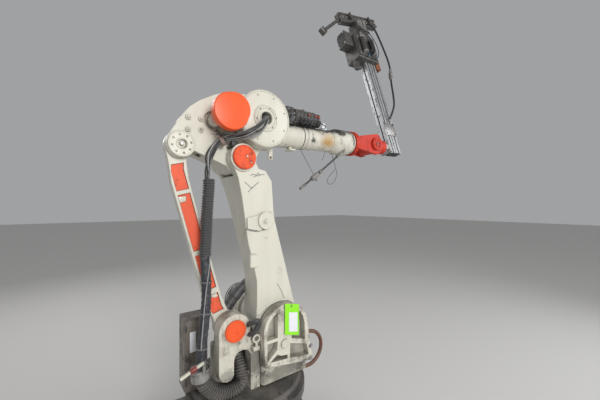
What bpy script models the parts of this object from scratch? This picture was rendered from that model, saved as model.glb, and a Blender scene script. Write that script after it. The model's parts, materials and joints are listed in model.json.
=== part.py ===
# Industrial robot arm with a parallel rear link, in metres, Z up.
# The origin is on the swivel axis at the underside of the base plate, and the
# forearm points along +X at rest. The side with the covers faces -Y.
import math

import bmesh
import bpy
from mathutils import Matrix, Vector

# Clearances
seat_gap = 0.0003          # between faces that touch on the real machine
pin_clearance = 0.0005     # round a pin in its bore
running_gap = 0.006        # between parts that turn against each other
cut_overrun = 0.02         # how far a cutter stands out of what it cuts
round_steps = 40           # facets of a large round piece
small_steps = 20           # facets of a small round piece
fine_steps = 12            # facets of a bolt or a hose

# Linkage: shoulder A, link pivot D, head B and rear pivot C, seen from the side
arm_length = 1.14
arm_lean = math.radians(14.8)
link_offset_x = 0.344
link_offset_z = 0.052
shoulder_x = 0.169
shoulder_z = 0.75
shoulder = Vector((shoulder_x, 0, shoulder_z))
head = shoulder + Vector((-arm_length * math.sin(arm_lean), 0, arm_length * math.cos(arm_lean)))
link_foot = shoulder + Vector((-link_offset_x, 0, link_offset_z))
rear_pivot = head + Vector((-link_offset_x, 0, link_offset_z))

# Elbow and forearm
elbow_from_head_x = 0.141
elbow_from_head_z = 0.258
elbow = head + Vector((elbow_from_head_x, 0, elbow_from_head_z))
forearm_tilt = math.radians(2.6)
forearm_y = 0.06
forearm_drop = 0.022       # the forearm tube runs this much below the elbow axis
wrist_reach = 1.31         # elbow axis to wrist bend axis
tool_roll = math.radians(-16.4)

# Base
plate_side = 0.92
plate_thick = 0.04
pedestal_top = 0.36
pedestal_radius = 0.33
pedestal_flange_radius = 0.40
pedestal_flange_thick = 0.055
pedestal_foot_radius = 0.42
pedestal_foot_thick = 0.05
pedestal_fillet = 0.03
box_length = 0.26
box_width = 0.30
box_height = 0.20
plate_hole_radius = 0.014
plate_hole_inset = 0.07
plate_bevel = 0.015
box_bevel = 0.006

# Swivel table and frame
table_radius = 0.375
table_thick = 0.045
frame_inset = 0.01         # the frame starts this much inside the brackets
frame_slope = 0.05

# Cheek that carries the lower link pivot
cheek_near_y = -0.205
cheek_thick = 0.09
cheek_top_radius = 0.10
cheek_drop = 0.292         # link pivot down to the lobe's underside
cheek_lobe_radius = 0.055
arch_width = 0.11
arch_height = 0.163
link_cap_radius = 0.066
link_cap_thick = 0.012
cheek_reach = 0.24         # link pivot to the cheek's front edge
cheek_bevel = 0.008
arch_offset = 0.048
cheek_back_width = 0.09    # the thick rear edge below the link's eye
cheek_back_depth = 0.085

# Ribbed bearing bracket, near and far side
bracket_radius = 0.167
bracket_thick = 0.065
bracket_web = 0.014        # wall left at the back of the pockets
bracket_near_y = -0.29
bracket_foot_left = 0.185
bracket_foot_right = 0.185
bracket_cap_radius = 0.03
bracket_cap_drop = 0.075
bracket_cap_thick = 0.014
bracket_cap_shift = 0.045
bracket_drop_left = 0.19
bracket_drop_right = 0.25
bracket_shift_x = -0.03    # the near bracket's arch leans back from the axis
bracket_shift_z = 0.01
far_bracket_radius = 0.142

# Shoulder motor, lifting eye and junction box
motor_length = 0.30
motor_radius = 0.085
motor_flange = 0.04
motor_flange_radius = 0.13
motor_step = 0.03
motor_end_share = 0.8      # the end face of a motor as a share of its radius
lifting_eye_radius = 0.022
lifting_eye_wire = 0.006
lifting_eye_rise = 0.01
side_box_reach = 0.415
side_box_near = 0.0
side_box_length = 0.14
side_box_width = 0.14
side_box_height = 0.45

# Lower arm
arm_near_y = -0.20
arm_top_depth = 0.33
arm_waist_depth = 0.16
arm_foot_depth = 0.20
arm_head_radius = 0.085
arm_half_width = 0.104
arm_hub_radius = 0.145
arm_edge = 0.012
cheek_gap_near_y = -0.139
cheek_gap_far_y = 0.058
head_near_y = -0.212
head_far_y = 0.15
head_cap_radius = 0.074
head_cap_thick = 0.022
collar_band = 0.07
collar_proud = 0.016
stop_size = 0.055
stop_height = 0.082
stop_proud = 0.02
stop_side_share = 0.95
stop_share = 0.441
collar_share = 0.635
collar_pad_radius = 0.056
collar_pad_share = 0.43
collar_pad_rise = 1.8      # the pad's height in band heights
collar_shares = ((-0.39, -0.84), (-1.45, -0.14), (-1.2, 0.6), (-0.59, 1.04), (1.14, 1.04), (1.45, -0.72))
waist_share = 0.55         # where the arm is thinnest along its length
left_shares = (
    (0.12, 1.66), (0.20, 1.36), (0.32, 1.02), (0.42, 0.97), (0.545, 0.98), (0.68, 0.80), (0.80, 0.66), (0.90, 0.60))
right_shares = (
    (0.925, 0.85), (0.905, 1.30), (0.84, 1.56), (0.67, 1.21), (0.61, 1.15), (0.36, 1.18), (0.10, 1.19))
shoulder_journal_radius = 0.124
head_journal_radius = 0.05
slot_reach = 0.24          # room for the casting in the arm's fork
slot_floor = 0.068
swing_forward = 50         # the lower arm's travel, in degrees
boss_rear_angle = -150     # where the casting's underside leaves its boss

# Rear link
link_near_y = -0.102
link_thick = 0.056
link_width = 0.099
link_eye_radius = 0.082
link_foot_radius = 0.088
link_bend = 0.05
panel_depth = 0.012
panel_thick = 0.004
panel_rim = 0.014
pivot_pin_radius = 0.03
link_edge = 0.005
bend_shares = ((0, 0), (0.11, 1), (0.3, 1), (0.72, 0.96), (0.88, 0.9), (1, 0))
panel_shares = ((0.088, 0.222), (0.242, 0.542), (0.566, 0.765), (0.795, 0.90))
link_end_share = 0.08      # the link's straight sides start this far from its pivots

# Elbow casting, the hooked carrier between head and forearm
casting_near_y = -0.133
casting_far_y = 0.052
casting_end_radius = 0.183
casting_boss_radius = 0.096
casting_fillet = 0.014
pivot_cap_radius = 0.075
pivot_cap_thick = 0.016
far_ear_radius = 0.055
ear_rim = 0.004
ear_overlap = 0.03
ear_cut_share = 0.5
ear_low_share = 0.4
hook_shares = (
    (-0.068, 0.208), (-0.004, 0.322), (0.097, 0.46), (0.212, 0.555), (0.371, 0.652), (0.524, 0.726))
hook_clear_share = 1.4
underside_share = 0.15
underside_drop = 0.03
far_layer_start = 0.13     # the wide far half starts this far in front of the rear pivot
casting_mid_y = -0.06
fork_gap = 0.005
fork_slot_radius = 0.135

# Drum on the elbow axis
drum_radius = 0.181
drum_near_y = -0.235
drum_chamfer = 0.007
drum_hole_radius = 0.038
hub_ring_radius = 0.086
hub_ring_thick = 0.006

# Elbow motor with its round cover
motor_cap_radius = 0.0855
motor_cap_near_y = -0.30
motor_cap_thick = 0.05
motor_cap_x = -0.2715
motor_cap_z = 0.0
motor_lobe_x = 0.044
motor_lobe_z = -0.035
motor_neck_radius = 0.04
motor_recess_radius = 0.1
motor_recess_depth = 0.02
small_boss_radius = 0.037
small_boss_x = -0.2995
small_boss_z = -0.045
small_boss_proud = 0.035
small_recess_radius = 0.06
small_recess_depth = 0.026
motor_cap_edge = 0.006
motor_lobe_share = 0.97

# Forearm, in its own frame: x along the arm from the elbow axis
elbow_housing_radius = 0.168
elbow_housing_far_y = 0.25
elbow_journal_radius = 0.12
neck_half = 0.095
tube_radius = 0.092
tube_start = 0.10
tube_seam = 0.47
roll_journal_radius = 0.06
seam_ring_radius = 0.095
seam_ring_width = 0.015
flare_radius = 0.112
flare_length = 0.24
flare_rise_share = 0.2     # rise and nose of the flared collar, along its length
flare_nose_share = 0.22
flare_end_share = 0.86
fork_back = 0.27           # fork base to wrist bend axis
tube_end = wrist_reach - fork_back - flare_length
fork_base_thick = 0.045
fork_arm_thick = 0.03
fork_arm_height = 0.11
fork_end_share = 0.93
valve_start = 0.41
valve_length = 0.25
valve_width = 0.12
valve_height = 0.095
valve_foot = 0.05          # the valve block stands on its rear end and clears the tube's ring
roll_motor_radius = 0.058
roll_motor_length = 0.24
motor_spacing = 0.125

# Wrist
wrist_radius = 0.108
wrist_half_width = 0.07
wrist_nose = 0.22
wrist_nose_radius = 0.07
wrist_hub_radius = 0.06
wrist_hub_thick = 0.02
wrist_body_radius = 0.088
bend_journal_radius = 0.045

# Tool, in its own frame: x along the flange axis from the wrist bend axis, z up the beam
flange_radius = 0.062
flange_thick = 0.045
adapter_side = 0.13
adapter_thick = 0.044
profile_side = 0.08
profile_slot = 0.014
profile_slot_depth = 0.018
profile_gap = 0.01
beam_low = -0.068
beam_high = 1.04
beam_block_height = 0.17
beam_block_width = 0.08
beam_block_drop = 0.04     # the brown block reaches this much below the gripper block
grip_start = 0.17          # wrist bend axis to the near end of the gripper block
grip_length = 0.33
grip_width = 0.18
grip_height = 0.29
grip_neck_start = 0.32
grip_neck_length = 0.17
grip_neck_width = 0.12
grip_neck_height = 0.27
cross_start = 0.10
cross_length = 0.70
cross_side = 0.07
cross_height = 0.11
cross_rise = math.radians(14)
jaw_length = 0.12
jaw_width = 0.12
jaw_low_share = 0.5        # the side block's lower edge, along the gripper block's height
jaw_height = 0.17
prong_side = 0.05
prong_length = 0.10
side_rod_radius = 0.018
side_rod_reach = 0.34
side_rod_fall = 0.30
side_rod_end_radius = 0.034

# Dress pack. Each route starts from a pivot of the linkage, so that it goes where the pivot goes
hose_radius = 0.048
sleeve_radius = 0.028
conduit_radius = 0.036
bundle_radius = 0.022
clamp_thick = 0.006
clamp_clearance = 0.001
clamp_height = 0.02
clamp_arm = 0.03
hose_offsets = (
    (0.049, -0.06, -0.197), (0.049, -0.11, -0.212), (0.049, -0.160, -0.26), (0.040, -0.19, -0.315),
    (0.005, -0.20, -0.341), (-0.055, -0.20, -0.345), (-0.12, -0.195, -0.322), (-0.172, -0.18, -0.266),
    (-0.195, -0.165, -0.202), (-0.195, -0.165, -0.172))
sleeve_offsets = (
    (-0.195, -0.165, -0.1716), (-0.195, -0.165, -0.142), (-0.188, -0.165, -0.062), (-0.172, -0.165, 0.078),
    (-0.161, -0.165, 0.218), (-0.163, -0.165, 0.338), (-0.168, -0.165, 0.438), (-0.168, -0.165, 0.468))
conduit_low_offsets = ((-0.168, -0.165, 0.4684), (-0.168, -0.165, 0.498), (-0.163, -0.165, 0.578))
conduit_high_offsets = (
    (-0.211, -0.165, -0.352), (-0.205, -0.165, -0.252), (-0.2, -0.165, -0.182), (-0.2, -0.165, -0.152))
bundle_offsets = (
    (-0.2, -0.165, -0.1516), (-0.2, -0.165, -0.122), (-0.198, -0.165, -0.062), (-0.182, -0.167, 0.008),
    (-0.134, -0.18, 0.083), (-0.086, -0.20, 0.105), (-0.043, -0.225, 0.113), (0.002, -0.262, 0.128),
    (0.052, -0.274, 0.162), (0.097, -0.278, 0.206), (0.131, -0.264, 0.248), (0.141, -0.225, 0.258),
    (0.141, -0.15, 0.258))


def route_from(pivot, offsets):
    return [pivot + Vector(offset) for offset in offsets]


hose_route = route_from(link_foot, hose_offsets)
sleeve_route = route_from(link_foot, sleeve_offsets)
conduit_route = route_from(link_foot, conduit_low_offsets) + route_from(head, conduit_high_offsets)
bundle_route = route_from(head, bundle_offsets)

parts = bpy.data.collections.new("industrial_robot_arm")


def clear_scene():
    for item in list(bpy.data.objects):
        bpy.data.objects.remove(item, do_unlink=True)
    bpy.context.scene.collection.children.link(parts)


def make_material(name, colour, roughness, metallic):
    material = bpy.data.materials.new(name)
    material.use_nodes = True
    shader = material.node_tree.nodes["Principled BSDF"]
    shader.inputs["Base Color"].default_value = (*colour, 1)
    shader.inputs["Roughness"].default_value = roughness
    shader.inputs["Metallic"].default_value = metallic
    material.diffuse_color = (*colour, 1)
    return material


# Paint and metal, as linear colours
finishes = {
    "cream": ((0.72, 0.69, 0.60), 0.5, 0.0),
    "orange": ((0.86, 0.16, 0.045), 0.45, 0.0),
    "wrist_orange": ((0.62, 0.06, 0.02), 0.45, 0.0),
    "dark_iron": ((0.045, 0.045, 0.05), 0.6, 0.4),
    "steel": ((0.45, 0.45, 0.46), 0.35, 1.0),
    "aluminium": ((0.62, 0.63, 0.64), 0.4, 1.0),
    "rubber": ((0.03, 0.03, 0.033), 0.8, 0.0),
    "grey": ((0.30, 0.29, 0.27), 0.6, 0.2),
    "brown": ((0.42, 0.13, 0.05), 0.6, 0.0),
}
materials = {}


def make_materials():
    for name, (colour, roughness, metallic) in finishes.items():
        materials[name] = make_material(name, colour, roughness, metallic)


def add_object(name, mesh, finish=None):
    item = bpy.data.objects.new(name, mesh)
    parts.objects.link(item)
    if finish:
        mesh.materials.clear()
        mesh.materials.append(materials[finish])
    return item


def evaluated(item):
    # The object's mesh with its modifiers, caps welded
    bpy.context.view_layer.update()
    graph = bpy.context.evaluated_depsgraph_get()
    mesh = bpy.data.meshes.new_from_object(item.evaluated_get(graph))
    cage = bmesh.new()
    cage.from_mesh(mesh)
    bmesh.ops.remove_doubles(cage, verts=cage.verts, dist=0.00001)
    cage.to_mesh(mesh)
    cage.free()
    return mesh


def bake(item):
    # Replaces an object by its evaluated mesh, in the same place
    mesh = evaluated(item)
    mesh.transform(item.matrix_world)
    name = item.name
    finish = item.data.materials[0] if item.data.materials else None
    bpy.data.objects.remove(item, do_unlink=True)
    solid = add_object(name, mesh)
    if finish:
        mesh.materials.clear()
        mesh.materials.append(finish)
    return solid


def combine(item, other, operation):
    modifier = item.modifiers.new(operation.lower(), "BOOLEAN")
    modifier.operation = operation
    modifier.solver = "EXACT"
    modifier.object = other
    solid = bake(item)
    bpy.data.objects.remove(other, do_unlink=True)
    return solid


def cut(item, cutter):
    return combine(item, cutter, "DIFFERENCE")


def join(item, other):
    return combine(item, other, "UNION")


def bevel(item, width, segments=1, angle=35):
    modifier = item.modifiers.new("edges", "BEVEL")
    modifier.width = width
    modifier.segments = segments
    modifier.limit_method = "ANGLE"
    modifier.angle_limit = math.radians(angle)
    modifier.use_clamp_overlap = True
    return bake(item)


def block(name, low, high, finish="cream"):
    # A box between two corners
    bpy.ops.mesh.primitive_cube_add(size=1)
    item = bpy.context.object
    low, high = Vector(low), Vector(high)
    item.data.transform(Matrix.Diagonal((*(high - low), 1)))
    item.data.transform(Matrix.Translation((low + high) / 2))
    return adopt(item, name, finish)


def adopt(item, name, finish):
    # Moves an object made by an operator into the parts collection
    for collection in list(item.users_collection):
        collection.objects.unlink(item)
    parts.objects.link(item)
    item.name = name
    item.data.materials.clear()
    item.data.materials.append(materials[finish])
    return item


axis_turns = {
    "X": Matrix.Rotation(math.radians(90), 4, "Y"),
    "Y": Matrix.Rotation(math.radians(-90), 4, "X"),
    "Z": Matrix.Identity(4),
}


def drum(name, axis, centre, start, end, radius, finish="cream", steps=round_steps, end_radius=None):
    # A cylinder or cone along an axis, from start to end
    bpy.ops.mesh.primitive_cone_add(
        vertices=steps, radius1=radius, depth=end - start,
        radius2=radius if end_radius is None else end_radius)
    item = bpy.context.object
    middle = Vector(centre)
    middle["XYZ".index(axis)] = (start + end) / 2
    item.data.transform(Matrix.Translation(middle) @ axis_turns[axis])
    return adopt(item, name, finish)


def turned(name, axis, centre, profile, finish="cream", steps=round_steps):
    # A profile of (radius, height) from its top on the axis to its bottom, spun by a Screw
    mesh = bpy.data.meshes.new(name)
    edges = [(n, n + 1) for n in range(len(profile) - 1)]
    mesh.from_pydata([(radius, 0, height) for radius, height in profile], edges, [])
    item = add_object(name, mesh, finish)
    screw = item.modifiers.new("turn", "SCREW")
    screw.steps = steps
    screw.render_steps = steps
    screw.use_merge_vertices = True
    screw.merge_threshold = 0.0001
    solid = bake(item)
    turn = axis_turns[axis].copy()
    solid.data.transform(Matrix.Translation(Vector(centre)) @ turn)
    return solid


def outline_plate(name, points, near_y, far_y, finish="cream", holes=()):
    # A flat outline in the XZ plane, with holes, from near_y to far_y
    curve = bpy.data.curves.new(name, "CURVE")
    curve.dimensions = "2D"
    curve.fill_mode = "BOTH"
    curve.extrude = (far_y - near_y) / 2
    for loop in (points, *holes):
        spline = curve.splines.new("POLY")
        spline.points.add(len(loop) - 1)
        for point, (x, z) in zip(spline.points, loop):
            point.co = (x, z, 0, 1)
        spline.use_cyclic_u = True
    item = add_object(name, curve, finish)
    item.matrix_world = (Matrix.Translation((0, (near_y + far_y) / 2, 0))
                         @ Matrix.Rotation(math.radians(90), 4, "X"))
    return bake(item)


def arc(centre, radius, start, end, count):
    # Points on a circle in the XZ plane, angles in degrees from +X towards +Z
    x, z = centre
    points = []
    for n in range(count + 1):
        angle = math.radians(start + (end - start) * n / count)
        points.append((x + radius * math.cos(angle), z + radius * math.sin(angle)))
    return points


def tube(name, points, radius, finish="rubber", resolution=2):
    curve = bpy.data.curves.new(name, "CURVE")
    curve.dimensions = "3D"
    curve.bevel_depth = radius
    curve.bevel_resolution = resolution
    curve.use_fill_caps = True
    spline = curve.splines.new("POLY")
    spline.points.add(len(points) - 1)
    for point, place in zip(spline.points, points):
        point.co = (*place, 1)
    return bake(add_object(name, curve, finish))


def smooth_route(route, spacing):
    # Evenly spaced points on a smooth curve through the route's own points
    ends = [2 * route[0] - route[1], *route, 2 * route[-1] - route[-2]]
    fine = []
    stages = 24
    for n in range(1, len(ends) - 2):
        p0, p1, p2, p3 = ends[n - 1:n + 3]
        for step in range(stages):
            t = step / stages
            fine.append(0.5 * (2 * p1 + (p2 - p0) * t + (2 * p0 - 5 * p1 + 4 * p2 - p3) * t ** 2
                               + (3 * p1 - p0 - 3 * p2 + p3) * t ** 3))
    fine.append(route[-1])
    total = sum((b - a).length for a, b in zip(fine, fine[1:]))
    count = max(3, round(total / spacing))
    points = [fine[0]]
    walked = 0
    for a, b in zip(fine, fine[1:]):
        step = (b - a).length
        while len(points) < count and walked + step >= total * len(points) / count:
            share = (total * len(points) / count - walked) / step
            points.append(a.lerp(b, share))
        walked += step
    points.append(fine[-1])
    # Both ends leave straight, so that the caps face their neighbours squarely
    points[1] = route[0] + (route[1] - route[0]).normalized() * (points[1] - points[0]).length
    points[-2] = route[-1] + (route[-2] - route[-1]).normalized() * (points[-2] - points[-1]).length
    return points


def flat(point):
    # The (x, z) pair of a place on the linkage
    return (point.x, point.z)


# The pivots that carry the moving groups
groups = {}


def make_group(name, place, parent=None, turn=None):
    empty = bpy.data.objects.new(name, None)
    parts.objects.link(empty)
    place_matrix = Matrix.Translation(place)
    if turn:
        place_matrix = place_matrix @ turn
    empty.matrix_world = place_matrix
    bpy.context.view_layer.update()
    if parent:
        empty.parent = groups[parent]
        empty.matrix_parent_inverse = groups[parent].matrix_world.inverted()
    bpy.context.view_layer.update()
    groups[name] = empty
    return empty


def attach(item, group):
    # A piece modelled in world coordinates joins a moving group
    item.parent = groups[group]
    item.matrix_parent_inverse = groups[group].matrix_world.inverted()


def carry(item, group):
    # A piece modelled in the group's own frame joins it
    item.parent = groups[group]


def make_groups():
    tilt = Matrix.Rotation(-forearm_tilt, 4, "Y")
    make_group("axis_swivel", (0, 0, pedestal_top))
    make_group("axis_shoulder", shoulder, "axis_swivel")
    make_group("axis_link", link_foot, "axis_swivel")
    make_group("axis_head", head, "axis_shoulder")
    make_group("axis_elbow", elbow, "axis_head", tilt)
    along = Vector((math.cos(forearm_tilt), 0, math.sin(forearm_tilt)))
    forearm = elbow + Vector((0, forearm_y, 0)) - forearm_drop * Vector((-along.z, 0, along.x))
    make_group("axis_roll", forearm, "axis_elbow", tilt)
    make_group("axis_bend", forearm + along * wrist_reach, "axis_roll", tilt)
    roll = Matrix.Rotation(tool_roll, 4, "X")
    make_group("axis_tool", forearm + along * wrist_reach, "axis_bend", tilt @ roll)


def build_base():
    half = plate_side / 2
    plate = block("base_plate", (-half, -half, 0), (half, half, plate_thick), "dark_iron")
    plate = bevel(plate, plate_bevel)
    inset = half - plate_hole_inset
    for x in (-inset, inset):
        for y in (-inset, inset):
            hole = drum("hole", "Z", (x, y, 0), -cut_overrun, plate_thick + cut_overrun,
                        plate_hole_radius, steps=fine_steps)
            plate = cut(plate, hole)
    turned("base_pedestal", "Z", (0, 0, 0), pedestal_profile(0), "dark_iron")
    # The cable entry box is bolted to the back of the pedestal
    middle = (plate_thick + pedestal_top) / 2
    low = middle - box_height / 2
    entry = block("base_connector_box", (-pedestal_radius - box_length, -box_width / 2, low),
                  (-pedestal_radius / 2, box_width / 2, low + box_height), "grey")
    entry = bevel(entry, box_bevel)
    cut(entry, turned("room", "Z", (0, 0, 0), pedestal_profile(seat_gap)))


def pedestal_profile(margin):
    # From the top down the outer side; the margin makes room round it
    low = plate_thick + seat_gap
    foot = low + pedestal_foot_thick
    rim = pedestal_top - pedestal_flange_thick
    profile = [
        (pedestal_flange_radius, pedestal_top), (pedestal_flange_radius, rim),
        (pedestal_radius + pedestal_fillet, rim - pedestal_fillet / 3),
        (pedestal_radius, rim - pedestal_fillet), (pedestal_radius, foot + pedestal_fillet),
        (pedestal_radius + pedestal_fillet, foot + pedestal_fillet / 3),
        (pedestal_foot_radius, foot), (pedestal_foot_radius, low)]
    profile = [(radius + margin, height) for radius, height in profile]
    return [(0, pedestal_top), *profile, (0, low)]


def build_swivel():
    low = pedestal_top + seat_gap
    top = low + table_thick
    edge = table_thick / 3
    profile = [(0, top), (table_radius - edge, top), (table_radius, top - edge), (table_radius, low), (0, low)]
    attach(turned("swivel_table", "Z", (0, 0, 0), profile), "axis_swivel")
    floor = top + seat_gap
    build_frame(floor)
    build_cheek(floor)
    build_bracket("bearing_bracket", -1)
    build_bracket("far_bearing_bracket", 1)
    build_shoulder_drive()
    build_frame_fittings(floor)


def frame_left():
    return shoulder.x - bracket_foot_left + frame_inset


def build_frame(floor):
    # The stepped casting that joins the table to the two bearing brackets
    right = shoulder.x + bracket_foot_right
    crown = shoulder.z - arm_hub_radius - running_gap
    points = [(frame_left(), floor), (right, floor), (right, crown - frame_slope),
              (right - frame_slope, crown), (frame_left() + frame_slope, crown),
              (frame_left(), crown - frame_slope)]
    near = bracket_near_y + bracket_thick + seat_gap
    frame = outline_plate("swivel_frame", points, near, -near)
    attach(bevel(frame, casting_fillet), "axis_swivel")


def build_cheek(floor):
    # The near cheek: round top about the link pivot, a lobe below, and a cable arch
    x, z = flat(link_foot)
    left = x - cheek_top_radius
    bottom = z - cheek_drop
    right = x + cheek_reach
    lobe = (left + cheek_lobe_radius, bottom + cheek_lobe_radius)
    arch_half = arch_width / 2
    arch = (x + arch_offset, bottom + arch_height - arch_half)
    points = arc((x, z), cheek_top_radius, -10, 176, 15)
    points += arc(lobe, cheek_lobe_radius, 180, 290, 7)
    points += [(arch[0] - arch_half, bottom + cheek_lobe_radius / 2)]
    points += arc(arch, arch_half, 180, 0, 10)
    points += [(arch[0] + arch_half, floor), (right, floor), (right, floor + cheek_lobe_radius)]
    cheek = outline_plate("link_bracket", points, cheek_near_y, cheek_near_y + cheek_thick)
    near = bracket_near_y + bracket_thick
    notch = block("notch", (frame_left() - seat_gap, near, floor - cut_overrun),
                  (right + cut_overrun, -near, shoulder.z - arm_hub_radius + cut_overrun))
    cheek = bevel(cut(cheek, notch), cheek_bevel)
    back = cheek_near_y + cheek_thick
    thick_edge = block("back", (left + cheek_bevel / 2, back - cheek_bevel * 2, floor),
                       (left + cheek_back_width, back + cheek_back_depth, z - link_foot_radius - 2 * running_gap))
    cheek = join(cheek, bevel(thick_edge, cheek_bevel))
    pin = drum("pin", "Y", (x, 0, z), cheek_near_y + cheek_thick / 2, link_near_y + link_thick,
               pivot_pin_radius, steps=small_steps)
    attach(join(cheek, pin), "axis_swivel")
    cap = drum("link_pivot_cap", "Y", (x, 0, z), cheek_near_y - link_cap_thick, cheek_near_y - seat_gap,
               link_cap_radius, "orange")
    attach(bevel(cap, link_cap_thick / 4), "axis_swivel")


def bracket_arch(side):
    # Centre and radius of the arch on the near or far side
    x, z = flat(shoulder)
    if side < 0:
        return (x + bracket_shift_x, z + bracket_shift_z), bracket_radius
    return (x, z), far_bracket_radius


def bracket_outline(side):
    x, z = flat(shoulder)
    centre, radius = bracket_arch(side)
    points = [(x + bracket_foot_right, z - bracket_drop_right)]
    points += arc(centre, radius, 6, 176, 18)
    points += [(x - bracket_foot_left, z - bracket_drop_left)]
    return points


# Pockets of the bearing bracket about its arch's centre, as shares of the arch's radius
pocket_shares = (
    ((-0.86, -0.22), (-0.40, -0.22), (-0.40, 0.74), (-0.60, 0.62), (-0.78, 0.40), (-0.85, 0.12)),
    ((-0.84, -0.34), (-0.40, -0.34), (-0.42, -0.66), (-0.84, -1.0)),
    ((0.24, -0.40), (0.88, -0.62), (0.86, 0.06), (0.78, 0.36), (0.56, 0.64), (0.24, 0.80)),
    ((0.16, -0.58), (0.96, -0.82), (1.08, -1.30), (0.16, -1.14)),
    ((0.04, -0.98), (0.04, -1.13), (-0.74, -1.05), (-0.42, -0.84), (-0.24, -0.94)),
)


def build_bracket(name, side):
    # A round-topped casting with open pockets between its ribs, outward of the arm's hub
    outer = -bracket_near_y
    inner = outer - bracket_thick
    near = -outer if side < 0 else inner
    bracket = outline_plate(name, bracket_outline(side), near, near + bracket_thick)
    centre, radius = bracket_arch(side)
    floor = -outer + bracket_thick - bracket_web if side < 0 else inner + bracket_web
    for shares in pocket_shares:
        points = [(centre[0] + u * radius, centre[1] + w * radius) for u, w in shares]
        if side < 0:
            pocket = outline_plate("pocket", points, -outer - cut_overrun, floor)
        else:
            pocket = outline_plate("pocket", points, floor, outer + cut_overrun)
        bracket = cut(bracket, pocket)
    attach(bracket, "axis_swivel")
    if side < 0:
        x = shoulder.x - bracket_cap_shift
        z = shoulder.z - bracket_cap_drop
        cap = drum("bearing_cap", "Y", (x, 0, z), -outer - bracket_cap_thick, -outer - seat_gap,
                   bracket_cap_radius, steps=small_steps)
        attach(bevel(cap, bracket_cap_thick / 4), "axis_swivel")


def build_shoulder_drive():
    # The shoulder motor stands out of the far bracket on a stepped flange
    outer = -bracket_near_y + seat_gap
    profile = [(0, outer + motor_length), (motor_radius * motor_end_share, outer + motor_length),
               (motor_radius, outer + motor_length - motor_step), (motor_radius, outer + motor_flange),
               (motor_flange_radius, outer + motor_flange), (motor_flange_radius, outer), (0, outer)]
    motor = turned("shoulder_motor", "Y", (shoulder.x, 0, shoulder.z), profile, "dark_iron", steps=24)
    attach(motor, "axis_swivel")


def build_frame_fittings(floor):
    # A lifting eye on the frame between the cheek and the near bracket
    x = shoulder.x - bracket_foot_left + lifting_eye_radius
    z = shoulder.z + lifting_eye_rise
    bpy.ops.mesh.primitive_torus_add(major_radius=lifting_eye_radius, minor_radius=lifting_eye_wire,
                                     major_segments=16, minor_segments=8)
    eye = bpy.context.object
    near = bracket_near_y + bracket_thick
    place = Matrix.Translation((x, near + lifting_eye_wire + seat_gap, z))
    eye.data.transform(place @ Matrix.Rotation(math.radians(90), 4, "X"))
    eye = adopt(eye, "lifting_eye", "steel")
    stem = drum("stem", "Z", (x, near + lifting_eye_wire + seat_gap, 0),
                shoulder.z - arm_hub_radius - running_gap + seat_gap, z - lifting_eye_radius, lifting_eye_wire,
                steps=fine_steps)
    attach(join(eye, stem), "axis_swivel")
    # A junction box stands on the table behind the cheek
    side = block("side_box", (-side_box_reach, side_box_near, floor),
                 (side_box_length - side_box_reach, side_box_near + side_box_width, floor + side_box_height),
                 "grey")
    attach(bevel(side, box_bevel), "axis_swivel")


def build_lower_arm():
    # Points are shares of the arm's length along it and of its head radius across it
    near = arm_near_y
    along = (head - shoulder).normalized()
    across = Vector((along.z, 0, -along.x))

    def place(share, side):
        point = shoulder + along * arm_length * share + across * arm_half_width * side
        return (point.x, point.z)

    points = arc(flat(shoulder), arm_hub_radius, 180 + 100, 360, 8)
    points += [place(share, side) for share, side in reversed(right_shares)]
    points += arc(flat(head), arm_head_radius, 60, 180, 8)
    points += [place(share, -side) for share, side in reversed(left_shares)]
    points += arc(flat(shoulder), arm_hub_radius, 180, 180 + 90, 7)
    arm = outline_plate("lower_arm", points, near, near + arm_top_depth)
    taper_back(arm)
    arm = bevel(arm, arm_edge)
    hub_face = -bracket_near_y - bracket_thick - seat_gap
    hub = drum("hub", "Y", (shoulder.x, 0, shoulder.z), -hub_face, hub_face,
               shoulder_journal_radius, steps=36)
    arm = join(arm, hub)
    cheek = drum("cheek", "Y", (head.x, 0, head.z), head_near_y, head_far_y, arm_head_radius)
    arm = join(arm, cheek)
    slot = drum("slot", "Y", (head.x, 0, head.z), cheek_gap_near_y, cheek_gap_far_y,
                casting_boss_radius + running_gap)
    sweep = outline_plate("sweep", sweep_outline(), cheek_gap_near_y, cheek_gap_far_y)
    arm = cut(cut(arm, slot), sweep)
    attach(arm, "axis_shoulder")
    cap = drum("elbow_near_cap", "Y", (head.x, 0, head.z), head_near_y - head_cap_thick,
               head_near_y - seat_gap, head_cap_radius, "orange")
    attach(bevel(cap, head_cap_thick / 4), "axis_shoulder")
    cap = drum("elbow_far_cap", "Y", (head.x, 0, head.z), head_far_y + seat_gap, head_far_y + head_cap_thick,
               head_cap_radius)
    attach(bevel(cap, head_cap_thick / 4), "axis_shoulder")
    build_arm_fittings(along, across)


def sweep_outline():
    # The fork's floor falls away behind the head, where the casting comes as the arm swings forward
    x, z = flat(head)
    room = casting_boss_radius + running_gap
    low = arc((x, z), room, boss_rear_angle + swing_forward, 0, 1)[0]
    corner = casting_under_corner()
    offset = Vector((corner[0] - x, corner[1] - z))
    angle = math.degrees(math.atan2(offset.y, offset.x)) + swing_forward
    rear = arc((x, z), offset.length + 2 * running_gap, angle, 0, 1)[0]
    return [(x + slot_reach, z + slot_reach), (x - slot_reach, z + slot_reach), (x - slot_reach, rear[1]),
            rear, low, (x, z - slot_floor), (x + slot_reach, z - slot_floor)]


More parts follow.
